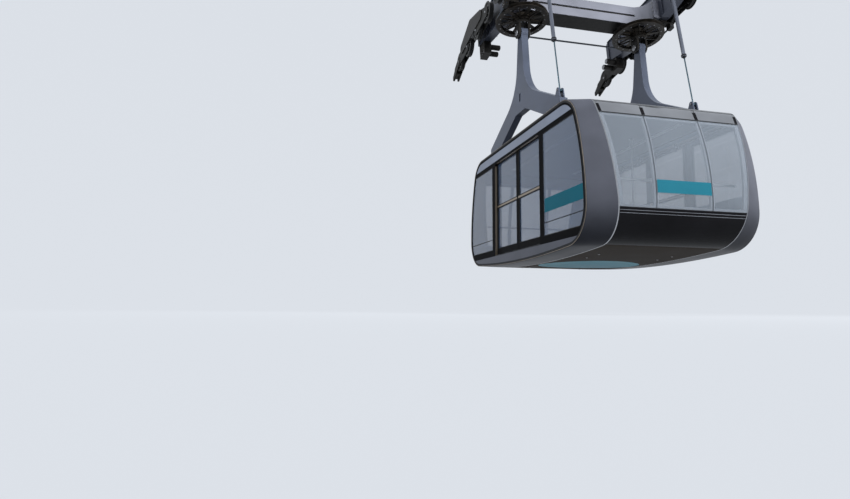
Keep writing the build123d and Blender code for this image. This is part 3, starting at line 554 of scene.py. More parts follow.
# Painted shade: near-black for the crossbeam's grooves and the hanger slots
paint("painted_shade_black", (0.016, 0.015, 0.014), 0.5)
paint("lining_paint", (0.15, 0.155, 0.17), 0.55, variation=0.05, specular=0.2)
paint("lamp_cover", (0.80, 0.81, 0.82), 0.45, variation=0.03)
paint("bronze_trim", (0.27, 0.22, 0.165), 0.35, metallic=0.5, variation=0.08)
paint("teal_oval", (0.10, 0.33, 0.41), 0.5, variation=0.04, specular=0.08)
paint("teal_sign", (0.018, 0.125, 0.170), 0.5, variation=0.04, specular=0.04)
casting("carriage_paint", (0.022, 0.020, 0.018), 0.5)
casting("rocker_paint", (0.020, 0.019, 0.017), 0.55)
casting("sheave_casting", (0.030, 0.025, 0.020), 0.45, metallic=0.4)
casting("wheel_casting", (0.035, 0.034, 0.032), 0.5, metallic=0.4)
rubber("roller_lining", (0.016, 0.016, 0.016))
rubber("seal_rubber", (0.012, 0.012, 0.013))
rubber("floor_rubber", (0.05, 0.05, 0.055))
rubber("grip_mat", (0.030, 0.030, 0.032), 0.8)
bare_metal("rail_metal", (0.55, 0.55, 0.57), 0.3)
bare_metal("track_metal", (0.5, 0.51, 0.53), 0.35)
bare_metal("trim_metal", (0.40, 0.41, 0.43), 0.36)
bare_metal("bolt_metal", (0.30, 0.30, 0.31), 0.4)
bare_metal("pin_metal", (0.42, 0.42, 0.44), 0.35)
bare_metal("rod_steel", (0.10, 0.16, 0.19), 0.25)
bare_metal("rope_metal", (0.085, 0.095, 0.11), 0.45)
window_glass("end_glass", (0.27, 0.31, 0.36), 0.28)
window_glass("side_glass", (0.072, 0.118, 0.205), 0.57)

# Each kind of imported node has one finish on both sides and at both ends
node_finish = {
    "belly_pan": "belly_paint", "end_panels": "gloss_black", "end_glass": "end_glass",
    "upper_panels": "upper_gloss", "roof": "roof_paint", "end_frames": "post_paint",
    "floor_deck": "floor_rubber", "side_frame": "frame_paint", "fascias": "fascia_paint",
    "sill_panels": "sill_paint", "side_glass": "side_glass", "door_tracks": "track_metal",
    "grab_rails": "rail_metal", "roof_beams": "shell_paint", "hanger": "hanger_paint",
    "side_beams": "frame_grey", "crossbeam": "beam_paint", "roller_rockers": "rocker_paint",
    "main_rockers": "carriage_paint", "rope_keepers": "rocker_paint", "pivot_forks": "carriage_paint",
    "carriage_pins": "pin_metal", "rope_guides": "carriage_paint", "rope_anchors": "carriage_paint",
    "damper_tube": "damper_paint", "damper_rod": "rod_steel", "sheave": "sheave_casting",
    "door": "door_paint", "door_glass": "side_glass",
}
for name, cad_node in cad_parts.items():
    kind = name.replace("_left", "_right").split("_right")[0]
    cad_node.data.materials.clear()
    cad_node.data.materials.append(finishes[node_finish.get(kind, "wheel_casting")])

# Side rings: wide lofted bands with a rounded edge at the door side and a bright strip at the joint
ring_edge_radius = 0.012
ring_edge_steps = 4
strip_width = 0.016
strip_shares = (0, 0.3, 0.7, 1)
strip_depth = 0.2
lining_gap = 0.002
lining_depth = 0.006
lining_span = (0.13, 0.98)
bead_inset = 0.011
bead_radius = 0.0035
gasket_profile = ((0.014, -0.001), (0.014, 0.001), (0.018, 0.0025),
                  (0.042, 0.0025), (0.048, 0.0005), (0.048, -0.001))
for side, sign in SIDES:
    shell_sections, strip_sections, lining_sections = [], [], []
    for near, far in zip(full_outline(side_outline), full_outline(body_outline)):
        a = Vector((near[0], sign * side_y, near[1]))
        b = Vector((far[0], sign * joint_y(far[1] - cabin_base), far[1]))
        a_in = a - Vector((near[2], 0, near[3])) * ring_wall
        inner_x, inner_z = far[0] - far[2] * shell_wall, far[1] - far[3] * shell_wall
        b_in = Vector((inner_x, sign * joint_y(inner_z - cabin_base), inner_z))
        along = (b - a).normalized()
        inward = (a_in - a).normalized()
        corner = []
        for turn in spaced(0, math.pi / 2, ring_edge_steps):
            corner.append(a + along * ring_edge_radius * (1 - math.sin(turn))
                          + inward * ring_edge_radius * (1 - math.cos(turn)))
        b_edge = b - along * strip_width
        b_edge_in = b_in - along * strip_width
        shell_sections.append(corner[::-1] + [a.lerp(b, 0.5), b_edge, b_edge_in, a_in])
        strip_sections.append([b_edge.lerp(b, share) for share in strip_shares]
                              + [b.lerp(b_in, strip_depth), b_edge.lerp(b_edge_in, strip_depth)])
        start, end = (a_in.lerp(b_in, share) + inward * lining_gap for share in lining_span)
        lining_sections.append([start, end, end + inward * lining_depth, start + inward * lining_depth])
    made = lofted(shell_sections).piece(f"ring_shell_{side}", "shell_paint", "cabin", "shell_grey", sharp=50)
    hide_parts(f"ring_{side}")
    lofted(strip_sections).piece(f"joint_strip_{side}", "trim_metal")
    lofted(lining_sections).piece(f"ring_lining_{side}", "lining_paint")

    # Black gasket on the ring's edge, with a thin bronze bead round it
    bead_sections, gasket_sections = [], []
    for x, z, nx, nz in full_outline(side_outline):
        out = Vector((nx, 0, nz))
        edge = Vector((x, sign * side_y, z))
        bead_sections.append([edge - out * bead_inset + around(out, across, turn) * bead_radius
                              for turn in full_turn(8)])
        gasket_sections.append([edge - out * inset + across * sign * rise for inset, rise in gasket_profile])
    lofted(bead_sections).piece(f"door_side_bead_{side}", "bronze_trim")
    lofted(gasket_sections).piece(f"door_side_gasket_{side}", "seal_rubber")

# Door side: rubber round the fixed windows, their sash lines and teal bands
seal_width = 0.014
sash_z = (0.597, 0.613)
band_z = (0.780, 1.020)
band_x = pillar_x + 0.030
past_end = 3.0
for side, sign in SIDES:
    seals, sashes, bands = shapes(3)
    for _, x_sign in ENDS:
        x_range = sorted((x_sign * pillar_x, x_sign * past_end))
        window = clipped(side_inset(window_inset), x_range, window_z)
        seals.border(window, sign * (side_glass_y + 0.004), sign * (side_glass_y - 0.002), seal_width)
        sash = clipped(side_inset(window_inset), x_range, sash_z)
        sashes.prism([(x, sign * side_glass_y, z) for x, z in sash], (0, sign * 0.001, 0))
    band = clipped(side_inset(window_inset + seal_width), (band_x, past_end), band_z)
    bands.prism([(x, sign * side_glass_y, z) for x, z in band], (0, sign * 0.0006, 0))
    seals.piece(f"window_seals_{side}", "seal_rubber")
    sashes.piece(f"window_sashes_{side}", "seal_rubber")
    bands.piece(f"window_bands_{side}", "teal_sign", smooth=False)

# Door opening: a bronze lining under the header and down both sides, and a ribbed threshold
lining_y = (wall_inner_y + 0.002, side_y - 0.004)
lining_thickness = 0.0015
threshold_ribs = 5
rib_pitch = 0.008
threshold_rib = (0.004, 0.003)
rib_half_length = door_half_opening - 0.01
sill, head = door_opening_z
for side, sign in SIDES:
    reveal, threshold = shapes(2)
    inner, outer = sign * lining_y[0], sign * lining_y[1]
    corner_x = door_half_opening - door_corner
    reveal.box((-corner_x, inner, head - lining_thickness), (corner_x, outer, head))
    for end in (-1, 1):
        reveal.box((end * door_half_opening, inner, sill),
                   (end * (door_half_opening - lining_thickness), outer, head - door_corner))
    for rib in range(threshold_ribs):
        y = sign * (wall_inner_y + rib_pitch * (rib + 1))
        threshold.box((-rib_half_length, y, sill),
                      (rib_half_length, y + sign * threshold_rib[0], sill + threshold_rib[1]))
    reveal.piece(f"door_reveal_{side}", "bronze_trim")
    threshold.piece(f"threshold_ribs_{side}", "track_metal")

# Door leaves: bronze mid rails, rubber round the panes and along the meeting edges, kick plates
leaf_skin = 0.002
kick_margin = 0.02
rail_margins = (0.012, 0.05)
pane_rubber = 0.010
meeting_x = (0.0006, leaf_x[0])
for side, sign in SIDES:
    outer, inner = sign * leaf_y[1], sign * leaf_y[0]
    for end, x_sign in ENDS:
        body = f"door_{side}_{end}"
        rails, rubber_edges, kick = shapes(3)
        low_x, high_x = sorted(x_sign * x for x in leaf_x)
        (lower_sill, rail_low), (rail_high, _) = leaf_glass_z
        for face, out in ((outer, sign), (inner, -sign)):
            rails.box((low_x + rail_margins[0], face, rail_low + 0.006),
                      (high_x - rail_margins[1], face + out * leaf_skin, rail_high - 0.006))
            for low, high in leaf_glass_z:
                pane = [(low_x + leaf_stile, cabin_base + low), (high_x - leaf_stile, cabin_base + low),
                        (high_x - leaf_stile, cabin_base + high), (low_x + leaf_stile, cabin_base + high)]
                rubber_edges.border(pane, face + out * leaf_skin, face - out * 0.012, pane_rubber)
        rubber_edges.box((x_sign * meeting_x[0], outer - sign * 0.006, leaf_z[0]),
                         (x_sign * meeting_x[1], inner + sign * 0.006, leaf_z[1]))
        kick.box((low_x + kick_margin, inner, leaf_z[0] + kick_margin),
                 (high_x - kick_margin, inner - sign * leaf_skin, lower_sill - kick_margin))
        rails.piece(f"leaf_mid_rail_{side}_{end}", "bronze_trim", body, edge=0.0008)
        rubber_edges.piece(f"leaf_seals_{side}_{end}", "seal_rubber", body)
        kick.piece(f"leaf_kick_plate_{side}_{end}", "track_metal", body, edge=0.0008)

# Cabin ends: seals between the panes, joint lines, dark gaps between the upper panels, the teal band
gap_y = (pane_seam_y - 0.040, pane_seam_y + 0.022)
gap_z = (end_head_z + 0.012, eave_z - 0.010)
corner_gap = 0.055
line_places = ((end_sill_z, 0.004), (end_head_z, 0.009), (eave_z, 0.004))
trim_places = ((0.548, 0.003), (0.590, 0.003))
end_band_half = 0.470
end_band_z = (0.868, 1.068)
seal_depth = (-0.001, -0.011)
gap_depth = (0.0008, -0.002)
line_depth = (0.0005, -0.001)
band_depth = (0.0006, -0.0004)
for end, x_sign in ENDS:
    pane_seals, joint_lines, gaps, trims, sign_band = shapes(5)
    for y_sign in (-1, 1):
        seam_y = sorted(y_sign * (pane_seam_y + shift) for shift in (-pane_joint / 2, pane_joint / 2))
        pane_seals.end_patch(x_sign, seam_y, (end_sill_z, end_head_z), *seal_depth)
        gaps.end_patch(x_sign, sorted(y_sign * y for y in gap_y), gap_z, *gap_depth)
        gaps.end_patch(x_sign, lambda height: sorted(y_sign * (joint_y(height) - inset)
                                                     for inset in (joint_clearance, corner_gap)),
                       gap_z, *gap_depth)
    for lines, places in ((joint_lines, line_places), (trims, trim_places)):
        for z, half in places:
            lines.end_patch(x_sign, whole_end, (z - half, z + half), *line_depth)
    pane_seals.piece(f"pane_seals_{end}", "seal_rubber")
    joint_lines.piece(f"end_joint_lines_{end}", "seal_rubber")
    gaps.piece(f"upper_gaps_{end}", "gloss_black")
    trims.piece(f"end_trim_lines_{end}", "post_paint")
    if x_sign > 0:
        sign_band.end_patch(x_sign, (-end_band_half, end_band_half), end_band_z, *band_depth)
        sign_band.piece(f"end_sign_band_{end}", "teal_sign")

# Belly: a teal oval on the hull, and two rows of drain plugs
oval_half = (0.85, 0.98)
oval_tip = 0.004
oval_steps = 36
oval_faces = ((-1, -0.00015), (1, -0.00015), (1, 0.0008), (-1, 0.0008))
oval_sections = []
for turn in spaced(math.pi * oval_tip, math.pi * (1 - oval_tip), oval_steps):
    x, y = -oval_half[0] * math.cos(turn), oval_half[1] * math.sin(turn)
    oval_sections.append([in_cabin(x, way * y, keel_height(x) + rise) for way, rise in oval_faces])
lofted(oval_sections, closed=False).piece("belly_oval", "teal_oval", smooth=False)
plugs = Shape()
plug_places = [(x, y) for x in (-1.6, -1.2, 1.2, 1.6) for y in (-0.7, 0.7)]
plugs.bolts([in_cabin(x, y, keel_height(x)) for x, y in plug_places], (0, 0, -1), 0.030, 0.008)
plugs.piece("belly_plugs", "bolt_metal")

# Inside: ceiling with two light strips, pole flanges, and feet of the end rails
panel_half = (2.15, 1.19)
panel_z = ceiling_z - 0.020
light_half = (1.9, 0.05)
light_y = 0.75
pole_flange = [(0.021, 0.030), (0.024, 0.022), (0.045, 0.008),
               (0.050, 0.005), (0.050, 0.0005), (0.021, 0.0005)]
pane_foot = [(0.013, 0.0), (0.028, 0.0), (0.028, 0.006), (0.013, 0.012)]
wall_foot = [(0.0005, 0.0), (0.019, 0.0), (0.017, 0.006), (0.0005, 0.008)]
rail_x, rail_z = end_rail
rail_end_y = 1.1
ceiling, strips, flanges = shapes(3)
ceiling.box((-panel_half[0], -panel_half[1], panel_z), (*panel_half, ceiling_z - 0.002))
ceiling.piece("ceiling_panel", "lining_paint", edge=0.003)
for y in (-light_y, light_y):
    strips.box((-light_half[0], y - light_half[1], panel_z - 0.006),
               (light_half[0], y + light_half[1], panel_z - 0.0005))
strips.piece("ceiling_lights", "lamp_cover", edge=0.002)
for x, y in pole_places:
    for z, up in ((floor_z, 1), (panel_z, -1)):
        flanges.turned(pole_flange, in_cabin(x, y, z), (0, 0, up), 28, hollow=True)
foot_x = body_x(rail_z) - shell_wall - 0.002
for _, x_sign in ENDS:
    for y_sign in (-1, 1):
        foot = in_cabin(x_sign * foot_x, y_sign * pane_seam_y, rail_z)
        flanges.turned(pane_foot, foot, (-x_sign, 0, 0), 24, hollow=True)
        flanges.turned(wall_foot, in_cabin(x_sign * rail_x, y_sign * rail_end_y, rail_z), (0, y_sign, 0), 24)
flanges.piece("rail_flanges", "rail_metal", sharp=40)

# Roof: a hatch with its hinges and handles, grip mats, and a seam at each side of the hatch
hatch, hatch_fittings, mats, roof_seams = shapes(4)
roof_z = body_outline["top_z"]
curb_half, curb_z = (0.35, 0.32), roof_z + 0.012
lid_half, lid_z = (0.32, 0.29), roof_z + 0.032
hinge_half, hinge_x, hinge_z = 0.05, -0.338, roof_z + 0.024
handle_half, handle_x, handle_z = 0.06, 0.22, lid_z + 0.03
mat_x, mat_y, mat_half = (0.55, 1.75), 0.75, 0.2
seam_x, seam_half = 0.45, (0.012, 1.22)
hatch.box((-curb_half[0], -curb_half[1], roof_z), (*curb_half, curb_z))
hatch.box((-lid_half[0], -lid_half[1], curb_z), (*lid_half, lid_z))
hatch.piece("roof_hatch", "roof_paint", edge=0.006)
for y in (-0.2, 0.2):
    hinge = in_cabin(hinge_x, y, hinge_z)
    hatch_fittings.turned([(0.011, -hinge_half), (0.011, hinge_half)], hinge, across, 16)
    low_y, high_y = y - handle_half, y + handle_half
    handle = ((low_y, lid_z), (low_y, handle_z), (high_y, handle_z), (high_y, lid_z))
    hatch_fittings.tube([in_cabin(handle_x, *place) for place in handle], 0.006)
hatch_fittings.piece("roof_hatch_fittings", "track_metal", sharp=50)
for x_sign in (-1, 1):
    for y in (-mat_y, mat_y):
        mats.box((x_sign * mat_x[0], y - mat_half, roof_z), (x_sign * mat_x[1], y + mat_half, roof_z + 0.004))
mats.piece("roof_grip_mats", "grip_mat", edge=0.002)
for x in (-seam_x, seam_x):
    roof_seams.box((x - seam_half[0], -seam_half[1], roof_z),
                   (x + seam_half[0], seam_half[1], roof_z + 0.006))
roof_seams.piece("roof_seams", "roof_paint", edge=0.002)

# Hangers: bolted fishplates at the feet, a rim and a dark core in the slot as painted shade, pins in the
# damper's ears
foot_bolts_x = (1.20, 1.32, 1.44, 1.56)
foot_plate = 0.0045
foot_plate_x = (hanger_foot_x[0] + 0.01, hanger_foot_x[1] - 0.01)
foot_plate_z = (hanger_foot_z + 0.006, hanger_foot_z + 0.088)
rim_width = 0.012
slot_shade_half = 0.045
ear_half = 0.0505
for side, sign in SIDES:
    plates, foot_bolts, rims, slot_shade_plate, pins = shapes(5)
    for face in (-1, 1):
        y = sign * hanger_y + face * hanger_half
        plate_y = y + face * foot_plate
        for _, x_sign in ENDS:
            plates.box((x_sign * foot_plate_x[0], y, foot_plate_z[0]),
                       (x_sign * foot_plate_x[1], plate_y, foot_plate_z[1]))
            foot_bolts.bolts([in_cabin(x_sign * x, plate_y, sum(foot_plate_z) / 2) for x in foot_bolts_x],
                             (0, face, 0), 0.032)
        rim = slot_outline(hanger_slot, *(size + 2 * rim_width for size in slot_size))
        rims.border(rim, y + face * 0.004, y - face * 0.002, rim_width)
        ear = in_cabin(damper_eye[0], sign * hanger_y + face * ear_half, damper_eye[1])
        pins.bolt(ear, (0, face, 0), 0.036, 0.012)
    # Painted shade: a dark plate halfway through the slot, so it reads as shaded from both sides
    slot_shade_plate.prism([(x, sign * hanger_y - slot_shade_half, z) for x, z in slot_outline(hanger_slot, *slot_size)],
               (0, 2 * slot_shade_half, 0))
    plates.piece(f"foot_plates_{side}", "hanger_paint", edge=0.0015)
    foot_bolts.piece(f"foot_bolts_{side}", "bolt_metal")
    rims.piece(f"slot_rims_{side}", "hanger_paint", edge=0.001)
    slot_shade_plate.piece(f"slot_painted_shade_{side}", "painted_shade_black")
    pins.piece(f"damper_ear_bolts_{side}", "bolt_metal")

# Roof beams: bolts along both sides
beam_half = 0.075
beam_bolts_x = spaced(-1.70, 1.70, 11)
beam_bolts = Shape()
for _, sign in SIDES:
    for face in (-1, 1):
        y = sign * hanger_y + face * beam_half
        beam_bolts.bolts([in_cabin(x, y, hanger_foot_z - 0.030) for x in beam_bolts_x], (0, face, 0), 0.022)
beam_bolts.piece("roof_beam_bolts", "bolt_metal")

# Swing dampers: wiper rings at the collars and clevis nuts at the upper pins
wiper_profile = [(0.0130, 0.972), (0.022, 0.974), (0.030, 0.999), (0.0130, 0.999)]
collar_profile = [(0.0465, 1.008), (0.0485, 1.012), (0.0485, 1.036), (0.0465, 1.040)]
clevis_half = 0.050
eye, top = in_cabin(damper_eye[0], 0, damper_eye[1]), in_cabin(damper_top[0], 0, damper_top[1])
for side, sign in SIDES:
    wiper, nuts = shapes(2)
    for profile, segments in ((wiper_profile, 28), (collar_profile, 32)):
        wiper.turned(profile, eye + across * sign * hanger_y, top - eye, segments, hollow=True)
    wiper.piece(f"damper_wiper_{side}", "seal_rubber", f"damper_tube_{side}")
    nuts.bolt(top + across * sign * (hanger_y - clevis_half), (0, -sign, 0), 0.042, 0.016)
    nuts.piece(f"damper_nut_{side}", "bolt_metal", "carriage")

# Rollers: cast wheels with recessed, bolted webs and a rubber tread
wheel_half = [(0.0301, -0.045), (0.074, -0.045), (0.082, -0.034), (0.166, -0.034), (0.173, -0.045),
              (0.212, -0.045), (0.215, -0.042), (0.215, -0.0375), (0.186, -0.0255), (0.180, -0.024)]
tread_half = [(0.1805, -0.0235), (0.190, -0.027)]
wheel_profile = wheel_half + [(r, -h) for r, h in reversed(wheel_half)]
tread_profile = tread_half + [(r, -h) for r, h in reversed(tread_half)]
web_half = 0.034
web_bolt_radius = 0.124
wheel_segments = 56
roller_places = [(index - (roller_count - 1) / 2) * roller_pitch for index in range(roller_count)]
for side, sign in SIDES:
    for number, s in enumerate(roller_places, 1):
        name = f"roller_{side}_{number}"
        centre = on_carriage(s, sign * rope_y, roller_n)
        wheel, tread, web_bolts = shapes(3)
        wheel.turned(wheel_profile, centre, across, wheel_segments, hollow=True)
        made = wheel.piece(f"wheel_{side}_{number}", "wheel_casting", name, "roller_lining", sharp=30)
        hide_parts(name)
        tread.turned(tread_profile, centre, across, wheel_segments, hollow=True)
        tread.piece(f"tread_{side}_{number}", "roller_lining", name, sharp=40)
        for face in (-1, 1):
            web_bolts.bolt_circle(centre + across * face * web_half, web_bolt_radius, (uphill, upward),
                                  full_turn(8), across * face, 0.020, 0.008)
        web_bolts.piece(f"wheel_bolts_{side}_{number}", "bolt_metal", name)

# Rockers: nuts on the axles and pins, ribs and bosses on the main plates
end_guide = 0.012
end_nut_head = 0.008
axle_nut_head = 0.018
boss_profile = [(0.046, 0.0), (0.120, 0.0), (0.120, 0.010), (0.112, 0.016), (0.046, 0.016)]
rib_span = (0.16, 0.52)
rib_lift = 0.03
for side, sign in SIDES:
    nuts, ribs = shapes(2)
    middle = sign * rope_y
    inner_face = middle - sign * rocker_plate_y[1]
    inward = across * -sign
    for s in roller_places:
        at_end = s in (roller_places[0], roller_places[-1])
        reach = cheek_y[1] + (end_guide if at_end else 0)
        for face in (-1, 1):
            nuts.bolt(on_carriage(s, middle + face * reach, roller_n), across * face, 0.044,
                      end_nut_head if at_end else axle_nut_head)
    for first, second in zip(roller_places[::2], roller_places[1::2]):
        nuts.bolt(on_carriage((first + second) / 2, inner_face, rocker_pin_n), inward, 0.060, 0.024)
    for place in (-2 * roller_pitch, 2 * roller_pitch):
        for x_sign in (-1, 1):
            ribs.bar(on_carriage(place + x_sign * rib_span[0], inner_face, main_pin_n - rib_lift),
                     on_carriage(place + x_sign * rib_span[1], inner_face, rocker_pin_n + rib_lift),
                     inward * 0.022, 0.012)
        ribs.turned(boss_profile, on_carriage(place, inner_face, main_pin_n), inward, 36, hollow=True)
    nuts.piece(f"rocker_nuts_{side}", "bolt_metal", "carriage")
    ribs.piece(f"rocker_ribs_{side}", "carriage_paint", "carriage", sharp=30)

# Side beams: top flanges, stiffening ribs on both faces, and bolted splice plates
beam_rib_places = (-1.36, -0.88, -0.62, 0.62, 0.88, 1.36)
flange_half_length = side_beam_half_length - 0.10
flange_n = (side_beam_top - 0.030, side_beam_top - 0.014)
splice_n = (0.24, 0.44)
splice_bolts_n = (0.275, 0.34, 0.405)
splice_plate = 0.010
splice_half = 0.10
rib_half = 0.006
rib_width, flange_width = 0.024, 0.028
for side, sign in SIDES:
    flange, ribs, splice = shapes(3)
    inner, outer = sign * side_beam_y[0], sign * side_beam_y[1]
    for face, out in ((inner, -sign), (outer, sign)):
        flange.box((-flange_half_length, face, flange_n[0]),
                   (flange_half_length, face + out * flange_width, flange_n[1]), on_carriage)
        for s in beam_rib_places:
            ribs.box((s - rib_half, face, beam_underside(s) + 0.012),
                     (s + rib_half, face + out * rib_width, side_beam_top - 0.040), on_carriage)
    for s in (-1.12, 1.02):
        plate_y = outer + sign * splice_plate
        splice.box((s - splice_half, outer, splice_n[0]),
                   (s + splice_half, plate_y, splice_n[1]), on_carriage)
        splice.bolts([on_carriage(s + ds, plate_y, n) for ds in (-0.065, 0.0, 0.065) for n in splice_bolts_n],
                     across * sign, 0.026)
    flange.piece(f"beam_flanges_{side}", "frame_grey", "carriage", edge=0.002)
    ribs.piece(f"beam_ribs_{side}", "frame_grey", "carriage", edge=0.002)
    splice.piece(f"beam_splices_{side}", "frame_grey", "carriage", edge=0.001)

# Crossbeam: dark inlays in its grooves and a dark underside cover, both painted shade, and bolted end flanges
groove_shade, cover, end_bolts = shapes(3)
groove_n = sum(cross_beam_n) / 2
groove_half = 0.022
groove_s, groove_shade_depth, underside_shade_depth = cross_beam_half - 0.020, 0.014, 0.004
groove_half_length = 1.149
end_flange = (0.47, side_beam_y[0] - 0.130)
end_bolts_n = (0.07, 0.17, 0.26, 0.36)
underside_shade_half = (cross_beam_half - 0.012, 1.36)
for s_sign in (-1, 1):
    # Painted shade: dark strips deep in the grooves
    groove_shade.box((s_sign * groove_s, -groove_half_length, groove_n - groove_half),
              (s_sign * (groove_s - groove_shade_depth), groove_half_length, groove_n + groove_half), on_carriage)
    for y_sign in (-1, 1):
        end_s, end_y = s_sign * end_flange[0], y_sign * end_flange[1]
        end_bolts.bolts([on_carriage(end_s, end_y, n) for n in end_bolts_n], across * -y_sign, 0.034)
# Painted shade: a dark sheet over the underside, where the beam is in shade
cover.box((-underside_shade_half[0], -underside_shade_half[1], cross_beam_n[0] - underside_shade_depth),
          (*underside_shade_half, cross_beam_n[0]), on_carriage)
groove_shade.piece("crossbeam_groove_shade", "painted_shade_black", "carriage")
cover.piece("crossbeam_underside_shade", "carriage_paint", "carriage", edge=0.001)
end_bolts.piece("crossbeam_bolts", "bolt_metal", "carriage")

# Pivot forks: bolts round the crown, and keeper caps on the pin's ends
crown_radius = 0.132
crown_n = -0.2253
post_y = (0.075, 0.12)
pin_end = 0.130
cap_bolt_radius, cap_turn = 0.040, 0.785
cap_profile = [(0.0005, 0.0), (0.062, 0.0), (0.062, 0.008), (0.054, 0.014), (0.0005, 0.014)]
crown_turns = [turn for turn in full_turn(12)
               if not post_y[0] <= abs(crown_radius * math.sin(turn)) <= post_y[1]]
for side, sign in SIDES:
    crown_bolts, caps = shapes(2)
    crown = on_carriage(0, sign * hanger_y, crown_n)
    crown_bolts.bolt_circle(crown, crown_radius, (uphill, across), crown_turns, -upward, 0.026)
    for face in (-1, 1):
        out = across * face
        end = on_carriage(0, sign * hanger_y + face * pin_end, -pivot_drop)
        caps.turned(cap_profile, end, out, 36)
        caps.bolt_circle(end + out * 0.012, cap_bolt_radius, (uphill, upward),
                         full_turn(4, cap_turn), out, 0.016)
    crown_bolts.piece(f"crown_bolts_{side}", "bolt_metal", "carriage")
    caps.piece(f"pivot_caps_{side}", "bolt_metal", "carriage", sharp=40)

# Haul sheaves: upright ribs on the spokes and a ring of bolts on the web
spoke_rib = ((0.168, 0.058), (0.427, 0.034))
spoke_half = 0.0105
rib_thickness = 0.016
sheave_bolt_radius, sheave_bolt_turn, sheave_bolt_n = 0.455, 0.17, -0.040
for side, sign in SIDES:
    centre = on_carriage(0, sign * hanger_y, sheave_n)
    ribs, web_bolts = shapes(2)
    for turn in full_turn(6, math.radians(30)):
        spoke = around(uphill, across, turn)
        aside = upward.cross(spoke) * rib_thickness
        for face in (-1, 1):
            feet = [centre + spoke * reach + upward * face * spoke_half for reach, _ in spoke_rib]
            tops = [centre + spoke * reach + upward * face * rise for reach, rise in reversed(spoke_rib)]
            ribs.prism([corner - aside / 2 for corner in feet + tops], aside)
    web_bolts.bolt_circle(centre + upward * sheave_bolt_n, sheave_bolt_radius, (uphill, across),
                          full_turn(18, sheave_bolt_turn), -upward, 0.020, 0.008)
    ribs.piece(f"sheave_ribs_{side}", "sheave_casting", f"sheave_{side}", edge=0.0015)
    web_bolts.piece(f"sheave_bolts_{side}", "bolt_metal", f"sheave_{side}")

# Haul rope: six strands twisted round both sheaves and straight across between them
strand_count = 6
lay_length = 0.26
strand_groove = 0.085
rope_segments = 30
path = rope_path()
sections = []
travelled = 0.0
for i, point in enumerate(path):
    before, after = path[max(i - 1, 0)], path[min(i + 1, len(path) - 1)]
    travelled += (point - before).length
    beside = (after - before).cross(upward).normalized()
    twist = math.tau * travelled / lay_length
    section = []
    for turn in full_turn(rope_segments):
        crest = abs(math.cos(strand_count * (turn - twist) / 2))
        radius = haul_rope_radius * (1 - strand_groove * (1 - crest))
        section.append(point + around(beside, upward, turn) * radius)
    sections.append(section)
strands = lofted(sections, closed=False)
made = strands.piece("haul_rope_strands", "rope_metal", "carriage", "rope_wire", sharp=60)
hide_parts("haul_rope")

# Rope guides and anchors: bolts on the guide blocks and the anchors, and bolted caps on the anchor drums
guide_face = 1.865
guide_bolts = [(s, n) for s in (0.36, 0.42) for n in (-0.13, -0.07)]
anchor_bolts = [(s, n) for s in (-1.40, -1.30, -1.20) for n in (-0.11, -0.06)]
drum_end = side_beam_y[0] - 0.200
anchor_face = side_beam_y[1] - 0.020
drum_profile = [(0.0005, 0.0), (0.050, 0.0), (0.046, 0.012), (0.0005, 0.014)]
for side, sign in SIDES:
    fittings = Shape()
    out = across * sign
    fittings.bolts([on_carriage(s, sign * guide_face, n) for s, n in guide_bolts], out, 0.016)
    for s, n in ((-1.37, -0.02), (-1.23, 0.05)):
        end = on_carriage(s, sign * drum_end, n)
        fittings.turned(drum_profile, end, -out, 28)
        fittings.bolt_circle(end - out * 0.010, 0.030, (uphill, upward), full_turn(3), -out, 0.014)
    fittings.bolts([on_carriage(s, sign * anchor_face, n) for s, n in anchor_bolts], out, 0.024)
    fittings.piece(f"rope_fittings_{side}", "bolt_metal", "carriage", sharp=40)


def look_direction(heading, rise):
    """Unit vector at a heading from +X towards +Y and a rise over the horizon, in degrees."""
    flat = math.cos(math.radians(rise))
    return Vector((flat * math.cos(math.radians(heading)), flat * math.sin(math.radians(heading)),
                   math.sin(math.radians(rise))))


camera_data = bpy.data.cameras.new("camera")
camera_data.sensor_width = sensor_width
camera_data.lens = sensor_width * focal_pixels / picture_width
camera_data.clip_end = 400
camera = in_scene("camera", camera_data)
camera.location = camera_place
camera.rotation_mode = "QUATERNION"
camera.rotation_quaternion = (look_direction(camera_heading, camera_rise).to_track_quat("-Z", "Y")
                              @ Quaternion((0, 0, 1), math.radians(camera_roll)))
scene.camera = camera

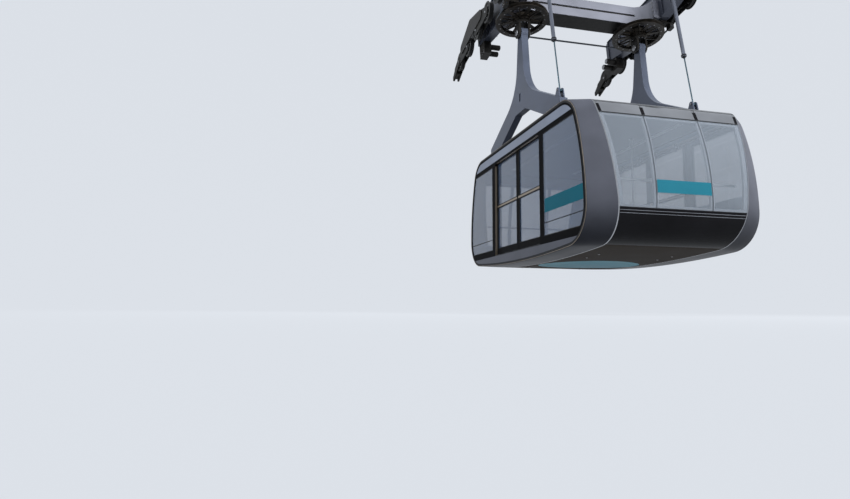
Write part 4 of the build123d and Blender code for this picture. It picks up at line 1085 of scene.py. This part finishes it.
# Studio: a pale floor that sweeps up into a backdrop far behind
stage_floor = camera_place[2] - floor_below_camera
stage_reach = 60
sweep_radius = 70
sweep_steps = 24
stage_height = 110
stage_segments = 48
stage_colour = (0.46, 0.47, 0.49, 1)
sky_colour = (0.80, 0.84, 0.90, 1)
sky_strength = 0.75
backdrop_glow = 0.86
profile = [(radius, 0.0) for radius in spaced(0, stage_reach, 12)]
for turn in spaced(0, math.pi / 2, sweep_steps)[1:]:
    profile.append((stage_reach + sweep_radius * math.sin(turn), sweep_radius * (1 - math.cos(turn))))
profile.append((stage_reach + sweep_radius, stage_height))
stage_points, stage_faces = [], []
for radius, height in profile:
    for turn in full_turn(stage_segments):
        stage_points.append((radius * math.cos(turn), radius * math.sin(turn), stage_floor + height))
for i in range(len(profile) - 1):
    for j in range(stage_segments):
        low, high = i * stage_segments, (i + 1) * stage_segments
        k = (j + 1) % stage_segments
        stage_faces.append((low + j, low + k, high + k, high + j))
stage_mesh = bpy.data.meshes.new("studio_stage")
stage_mesh.from_pydata(stage_points, [], stage_faces)
stage_mesh.shade_smooth()
studio_stage = in_scene("studio_stage", stage_mesh)

# The backdrop glows for rays that see it, straight, mirrored or through glass, and is matt for the rest
stage_finish, tree = material("studio_stage")
matt = node(tree, "BsdfPrincipled", {"Base Color": stage_colour, "Roughness": 0.9})
glow = node(tree, "Emission", {"Color": sky_colour})
rays = node(tree, "LightPath")
seen = rays.outputs["Is Camera Ray"]
for kind in ("Is Glossy Ray", "Is Transmission Ray"):
    seen = node(tree, "Math", {0: seen, 1: rays.outputs[kind]}, operation="MAXIMUM").outputs[0]
share = node(tree, "Math", {0: seen, 1: backdrop_glow}, operation="MULTIPLY")
mixed = node(tree, "MixShader", {0: share.outputs[0], 1: matt.outputs["BSDF"], 2: glow.outputs["Emission"]})
node(tree, "OutputMaterial", {"Surface": mixed.outputs["Shader"]})
stage_mesh.materials.append(stage_finish)

world = bpy.data.worlds.new("studio_world")
world.use_nodes = True
scene.world = world
world.node_tree.nodes["Background"].inputs["Color"].default_value = sky_colour
world.node_tree.nodes["Background"].inputs["Strength"].default_value = sky_strength

cabin_middle = (0, 0, -3.0)
lamp_spread = 85


def lamp(name, place, width, height, power, colour, in_reflections):
    """Soft rectangular lamp aimed at the cabin's middle."""
    data = bpy.data.lights.new(name, "AREA")
    data.shape = "RECTANGLE"
    data.size = width
    data.size_y = height
    data.energy = power
    data.color = colour
    data.spread = math.radians(lamp_spread)
    made = in_scene(name, data)
    made.visible_camera = False
    made.visible_glossy = in_reflections
    made.location = place
    made.rotation_mode = "QUATERNION"
    made.rotation_quaternion = (Vector(cabin_middle) - Vector(place)).to_track_quat("-Z", "Y")


lamp("key_lamp", (14, 4, 3.5), 6, 6, 880, (0.96, 0.98, 1.0), False)
lamp("fill_lamp", (2, -13, 2), 7, 5, 210, (0.92, 0.96, 1.0), True)

scene.view_settings.view_transform = "Standard"
